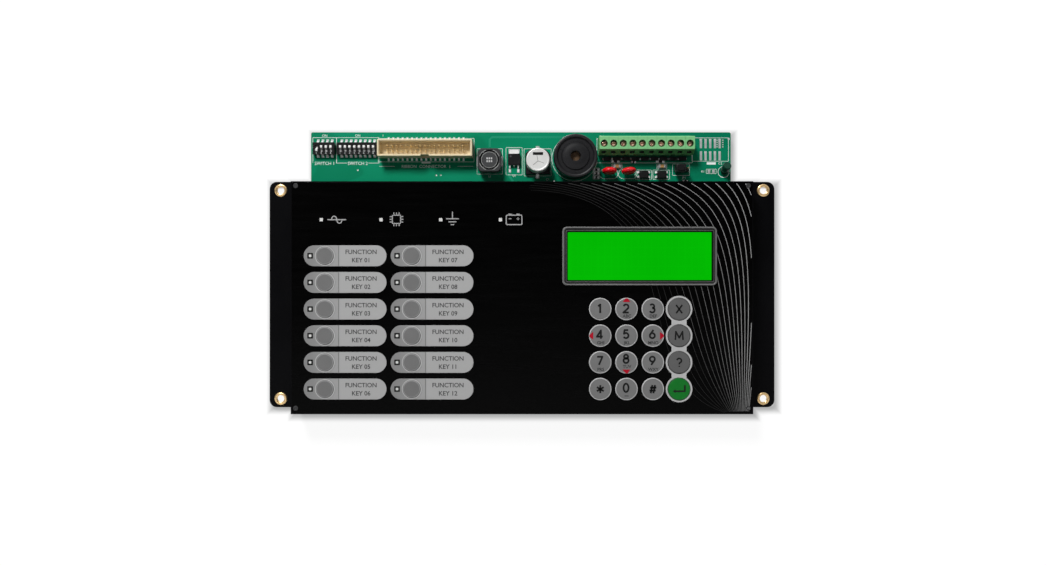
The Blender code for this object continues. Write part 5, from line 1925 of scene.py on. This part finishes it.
def contact_shade(graph):
    """A painted shadow on the wall: 0 at the unit's outline and 1 a few mm away from it; it reaches further
    on the right and below.
    """
    across, _, up = graph.node("SeparateXYZ", graph.place).outputs
    outlines = (
        on_wall(-CHASSIS.x1, -EAR_HALF, CHASSIS.x1, EAR_HALF, SHEET),
        on_wall(*FACE, FACE_FRONT),
        on_wall(BOARD.x0, 0, BOARD.x1, BOARD.y1, BOARD_FRONT),
    )
    nearest = None
    for x0, y0, x1, y1 in outlines:
        away = []
        for value, low, high, shift in ((across, x0, x1, SHADE_DRIFT), (up, y0, y1, -SHADE_DRIFT)):
            middle = ((low + high) / 2 + shift) * MM + (MIDDLE_Z if value is up else 0)
            offset = graph.math("ABSOLUTE", graph.math("SUBTRACT", value, middle))
            away.append(graph.math("SUBTRACT", offset, (high - low) / 2 * MM))
        distance = graph.math("MAXIMUM", *away)
        nearest = distance if nearest is None else graph.math("MINIMUM", nearest, distance)
    outside = graph.step(nearest, -1.0 * MM, SHADE_REACH * MM)
    behind_holes = graph.step(nearest, -1.5 * MM, -3.2 * MM)
    return graph.math("MAXIMUM", outside, behind_holes)


def make_stage():
    """A pale wall close behind the unit, which only shows from the front, and a pale floor well below it."""
    wall_mesh = bpy.data.meshes.new("pale_wall")
    reach = 2.5
    wall_y = BACK_Y + WALL_GAP * MM
    corners = [
        (-reach, wall_y, -FLOOR_DROP), (reach, wall_y, -FLOOR_DROP), (reach, wall_y, reach),
        (-reach, wall_y, reach),
    ]
    wall_mesh.from_pydata(corners, [], [(0, 1, 2, 3)])
    wall = bpy.data.objects.new("pale_wall", wall_mesh)
    bpy.context.scene.collection.objects.link(wall)
    graph = Graph("wall_paper")
    grain = graph.noise(3.0, 2.0)
    glow = graph.node("MapRange", contact_shade(graph), 0.0, 1.0, *WALL_GLOW).outputs[0]
    graph.set(
        base_color=graph.mix(grain, (0.11, 0.11, 0.11), (0.13, 0.13, 0.13)),
        emission_color=(1.0, 1.0, 1.0),
        emission_strength=glow,
        roughness=0.9,
        specular_ior_level=0.0,
    )
    out = graph.tree.nodes["Material Output"]
    clear = graph.tree.nodes.new("ShaderNodeBsdfTransparent")
    swap = graph.tree.nodes.new("ShaderNodeMixShader")
    behind = graph.tree.nodes.new("ShaderNodeNewGeometry").outputs["Backfacing"]
    graph.put(swap.inputs[0], behind)
    graph.put(swap.inputs[1], graph.shader.outputs[0])
    graph.put(swap.inputs[2], clear.outputs[0])
    graph.put(out.inputs["Surface"], swap.outputs[0])
    wall_mesh.materials.append(graph.material)
    for rays in ("visible_shadow", "visible_diffuse", "visible_glossy", "visible_transmission"):
        setattr(wall, rays, False)
    floor_mesh = bpy.data.meshes.new("pale_floor")
    far = 4.0
    floor_mesh.from_pydata(
        [
            (-far, -far, -FLOOR_DROP), (far, -far, -FLOOR_DROP), (far, far, -FLOOR_DROP),
            (-far, far, -FLOOR_DROP),
        ],
        [], [(0, 1, 2, 3)],
    )
    floor = bpy.data.objects.new("pale_floor", floor_mesh)
    bpy.context.scene.collection.objects.link(floor)
    ground = Graph("floor_paper")
    speckle = ground.noise(4.0, 2.0)
    ground.set(
        base_color=ground.mix(speckle, (0.7, 0.7, 0.7), (0.74, 0.74, 0.74)),
        emission_color=(1.0, 1.0, 1.0),
        emission_strength=FLOOR_GLOW,
        roughness=0.85,
        specular_ior_level=0.0,
    )
    floor_mesh.materials.append(ground.material)
    floor.visible_diffuse = False


def area_light(name, place, size, power, aim=(0, 0, 0)):
    light = bpy.data.lights.new(name, "AREA")
    light.shape = "RECTANGLE"
    light.size, light.size_y = size
    light.energy = power
    lamp = bpy.data.objects.new(name, light)
    lamp.location = place
    lamp.rotation_mode = "QUATERNION"
    lamp.rotation_quaternion = (Vector(aim) - Vector(place)).to_track_quat("-Z", "Y")
    bpy.context.scene.collection.objects.link(lamp)


def make_world():
    """Pale to the camera; for reflections, dark straight in front of the face and bright above it."""
    world = bpy.data.worlds.new("pale_studio")
    world.use_nodes = True
    tree = world.node_tree

    def node(kind, **settings):
        made = tree.nodes.new(kind)
        for key, value in settings.items():
            setattr(made, key, value)
        return made

    def blend(factor, first, second):
        mix = node("ShaderNodeMix")
        tree.links.new(factor, mix.inputs[0])
        for socket, value in ((mix.inputs[2], first), (mix.inputs[3], second)):
            if isinstance(value, bpy.types.NodeSocket):
                tree.links.new(value, socket)
            else:
                socket.default_value = value
        return mix.outputs[0]

    def span(value, low, high):
        ramp = node("ShaderNodeMapRange", interpolation_type="SMOOTHSTEP")
        tree.links.new(value, ramp.inputs[0])
        ramp.inputs[1].default_value, ramp.inputs[2].default_value = low, high
        return ramp.outputs[0]

    way = node("ShaderNodeSeparateXYZ")
    tree.links.new(node("ShaderNodeTexCoord").outputs["Generated"], way.inputs[0])
    rays = node("ShaderNodeLightPath")
    raised = blend(span(way.outputs[2], -0.1, 0.75), 0.22, 1.1)
    gloss = blend(span(way.outputs[1], -0.93, -0.72), 0.03, raised)
    unseen = blend(rays.outputs["Is Glossy Ray"], WORLD_TONE, gloss)
    shown = blend(rays.outputs["Is Camera Ray"], unseen, 0.97)
    tree.links.new(shown, tree.nodes["Background"].inputs["Color"])
    bpy.context.scene.world = world


def make_lights():
    """A soft key high in front, a faint fill from the right, and a light for the back."""
    bpy.context.scene.view_settings.view_transform = "Standard"
    area_light("key_softbox", (-0.4, -1.05, 0.95), (0.36, 0.36), KEY_POWER)
    area_light("fill_softbox", (1.3, -0.9, 0.5), (0.8, 0.8), 1.2)
    area_light("rear_softbox", (-0.5, 1.2, 0.9), (0.9, 0.9), 14.0)


def make_camera():
    camera = bpy.data.cameras.new("camera")
    camera.sensor_width = 36.0
    camera.lens = camera.sensor_width * CAMERA_DISTANCE / FRAME_WIDTH
    camera.clip_start, camera.clip_end = 0.01, 20
    holder = bpy.data.objects.new("camera", camera)
    holder.matrix_world = Matrix.Translation(
        PANEL @ Vector((*CAMERA_XY, FILM_FRONT + CAMERA_DISTANCE))
    ) @ UPRIGHT
    bpy.context.scene.collection.objects.link(holder)
    bpy.context.scene.camera = holder


# ---------------------------------------------------------------------------------------------------- build

MATERIALS = {
    "powder_coat": powder_coat(),
    "film_black": film_black(),
    "label_print": pill_ink(),
    **{f"fan_print_{tone}": fan_ink(tone) for tone in range(len(FAN_GREYS))},
    "solder_mask": board_mask(),
    "display_face": display_surface(),
    "gold": finish_of("gilt_brass", (214, 182, 132), 0.3, 0.8, grain=0.5, relief=0.004),
    "pin_gilt": finish_of("pin_gilt", (236, 212, 160), 0.35, 0.3, grain=0.3),
    "brass": finish_of("brass", (205, 168, 98), 0.32, 1.0, grain=0.4),
    "brass_screw": finish_of("brass_screw", (236, 196, 170), 0.22, 0.9, grain=0.25, relief=0.01),
    "brass_dark": finish_of("brass_dark", (92, 70, 48), 0.5, 0.5),
    "tin": finish_of("tin_plate", (222, 222, 222), 0.34, 0.9, grain=0.3, relief=0.006),
    "lead_tin": finish_of("lead_tin", (236, 236, 234), 0.4, 0.25, grain=0.3, relief=0.006),
    "solder": finish_of("solder", (206, 208, 208), 0.36, 0.7, grain=0.5, relief=0.02),
    "zinc": finish_of("zinc_plate", (196, 198, 202), 0.33, 0.9, grain=0.3, stretch=(1, 1, 3)),
    "aluminium": finish_of("aluminium_can", (214, 214, 212), 0.42, 0.25, grain=0.3, stretch=(1, 6, 1)),
    "aluminium_score": finish_of("aluminium_score", (120, 120, 118), 0.5, 0.5),
    "stud_grey": finish_of("stud_grey", (52, 52, 53), 0.5, 0.2, 0.2),
    "print_mid": finish_of("print_mid", (126, 126, 126), 0.45, specular=0.15, grain=0.15, relief=0.002),
    "print_shade": finish_of("print_shade", (143, 143, 143), 0.45, specular=0.15, grain=0.15, relief=0.002),
    "print_pale": finish_of("print_pale", (188, 188, 188), 0.45, specular=0.15, grain=0.15, relief=0.002),
    "print_white": finish_of("print_white", (186, 186, 186), 0.45, specular=0.15, grain=0.15, relief=0.002),
    "print_icon": finish_of("print_icon", (166, 166, 166), 0.45, specular=0.15, grain=0.15, relief=0.002),
    "print_dark": finish_of("print_dark", (64, 64, 64), 0.45, specular=0.15, grain=0.15, relief=0.002),
    "print_black": finish_of("print_black", (14, 14, 14), 0.45, specular=0.15, grain=0.15, relief=0.002),
    "lamp_window": finish_of("lamp_window", (216, 216, 214), 0.3, specular=0.3, grain=0.4, relief=0.002),
    "key_face_dark": finish_of("key_face_dark", (113, 113, 113), 0.5, specular=0.2, grain=0.14, relief=0.01),
    "key_rim_dark": finish_of(
        "key_rim_dark", (150, 150, 150), 0.45, specular=0.25, grain=0.14, relief=0.006
    ),
    "key_face": finish_of("key_face", (118, 118, 118), 0.5, specular=0.2, grain=0.14, relief=0.01),
    "key_rim": finish_of("key_rim", (196, 196, 196), 0.45, specular=0.25, grain=0.14, relief=0.006),
    "key_face_special": finish_of(
        "key_face_special", (95, 95, 95), 0.5, specular=0.2, grain=0.14, relief=0.01
    ),
    "key_rim_special": finish_of(
        "key_rim_special", (84, 84, 84), 0.45, specular=0.25, grain=0.14, relief=0.006
    ),
    "key_face_green": finish_of("key_face_green", (10, 110, 34), 0.5, specular=0.2, grain=0.14, relief=0.01),
    "key_rim_green": finish_of(
        "key_rim_green", (34, 100, 50), 0.45, specular=0.25, grain=0.14, relief=0.006
    ),
    "legend_black": finish_of("legend_black", (10, 10, 10), 0.4, specular=0.2, grain=0.15, relief=0.002),
    "legend_grey": finish_of("legend_grey", (50, 50, 50), 0.4, specular=0.2, grain=0.15, relief=0.002),
    "legend_red": finish_of("legend_red", (170, 10, 36), 0.4, specular=0.2, grain=0.15, relief=0.002),
    "bezel_pale": finish_of("bezel_pale", (108, 108, 108), 0.42, specular=0.2, grain=0.2, relief=0.012),
    "bezel_dark": finish_of("bezel_dark", (36, 36, 36), 0.5, specular=0.1, grain=0.2, relief=0.012),
    "bezel_black": finish_of("bezel_black", (10, 10, 10), 0.6, specular=0.05, grain=0.2, relief=0.012),
    "bezel_line": finish_of("bezel_line", (88, 88, 88), 0.45, specular=0.2, grain=0.2, relief=0.008),
    "glass_edge": finish_of("glass_edge", (16, 52, 22), 0.2, specular=0.5),
    "laminate": finish_of("laminate_edge", (150, 150, 92), 0.7, grain=0.25, relief=0.02, stretch=(1, 5, 1)),
    "copper_mask": finish_of("masked_copper", (8, 140, 104), 0.32, specular=0.35, grain=0.3, spread=0.08),
    "silk_white": finish_of("legend_white", (232, 238, 235), 0.6, grain=0.2, relief=0.004),
    "moulded_black": finish_of("moulded_black", (18, 18, 19), 0.42, specular=0.14, grain=0.18, relief=0.01),
    "moulded_grey": finish_of("moulded_grey", (56, 56, 58), 0.6, specular=0.3, grain=0.18, relief=0.01),
    "sounder_black": finish_of("sounder_black", (22, 22, 24), 0.4, specular=0.2, grain=0.22, relief=0.012),
    "chip_black": finish_of("chip_black", (24, 24, 26), 0.4, specular=0.25, grain=0.2),
    "chip_tan": finish_of("chip_tan", (186, 142, 84), 0.5, grain=0.2),
    "lamp_white": finish_of("lamp_white", (214, 214, 208), 0.4, grain=0.3),
    "lamp_guide": finish_of("lamp_guide", (206, 212, 210), 0.25, specular=0.5, coat=0.3),
    "terminal_green": finish_of(
        "terminal_green", (122, 190, 128), 0.42, specular=0.35, grain=0.25, relief=0.008, spread=0.08
    ),
    "terminal_painted_shade": finish_of("terminal_painted_shade", (92, 164, 98), 0.5, specular=0.15, grain=0.25, spread=0.08),
    "terminal_shade": finish_of("terminal_shade", (58, 92, 56), 0.5, specular=0.2, grain=0.25),
    "header_floor_painted_light": finish_of("header_floor_painted_light", (230, 212, 176), 0.5, specular=0.2, grain=0.25, spread=0.2),
    "header_beige": finish_of(
        "header_beige", (224, 209, 174), 0.5, specular=0.35, grain=0.25, relief=0.01, spread=0.08
    ),
    "ferrite_painted_highlight": finish_of("ferrite_painted_highlight", (150, 152, 150), 0.5, specular=0.3, grain=0.16),
    "ferrite": finish_of("ferrite", (50, 51, 52), 0.6, specular=0.2, grain=0.16, relief=0.02, spread=0.3),
    "ferrite_core": finish_of(
        "ferrite_core", (56, 57, 58), 0.55, specular=0.2, grain=0.16, relief=0.016, spread=0.3
    ),
    "red_epoxy": finish_of(
        "red_epoxy", (226, 12, 24), 0.22, specular=0.35, grain=0.8, relief=0.02, coat=0.25
    ),
    "slider_white": finish_of("slider_white", (236, 236, 234), 0.35, grain=0.2),
    "slider_shade": finish_of("slider_shade", (228, 228, 226), 0.4, grain=0.2),
    "sleeve_green": finish_of("sleeve_green", (8, 58, 42), 0.35, specular=0.2, grain=0.5),
}


def build():
    make_chassis()
    make_ear_eyelets()
    make_corner_studs()
    make_film()
    make_label_pills()
    make_label_text()
    make_status_icons()
    make_fan()
    make_keypad_print()
    make_function_keys()
    make_keypad_keys()
    make_display_bezel()
    make_display_glass()
    make_display_module()
    make_board()
    make_key_switches()
    make_lamps()
    make_rear_solder()
    make_tracks()
    make_rear_parts()
    make_board_screws()
    make_switch_banks()
    make_terminal_block()
    make_ribbon_header()
    make_inductor()
    make_regulator()
    make_capacitor()
    make_sounder()
    make_surge_discs()
    make_small_parts()
    make_front_legend()
    make_stage()
    make_world()
    make_lights()
    make_camera()


build()
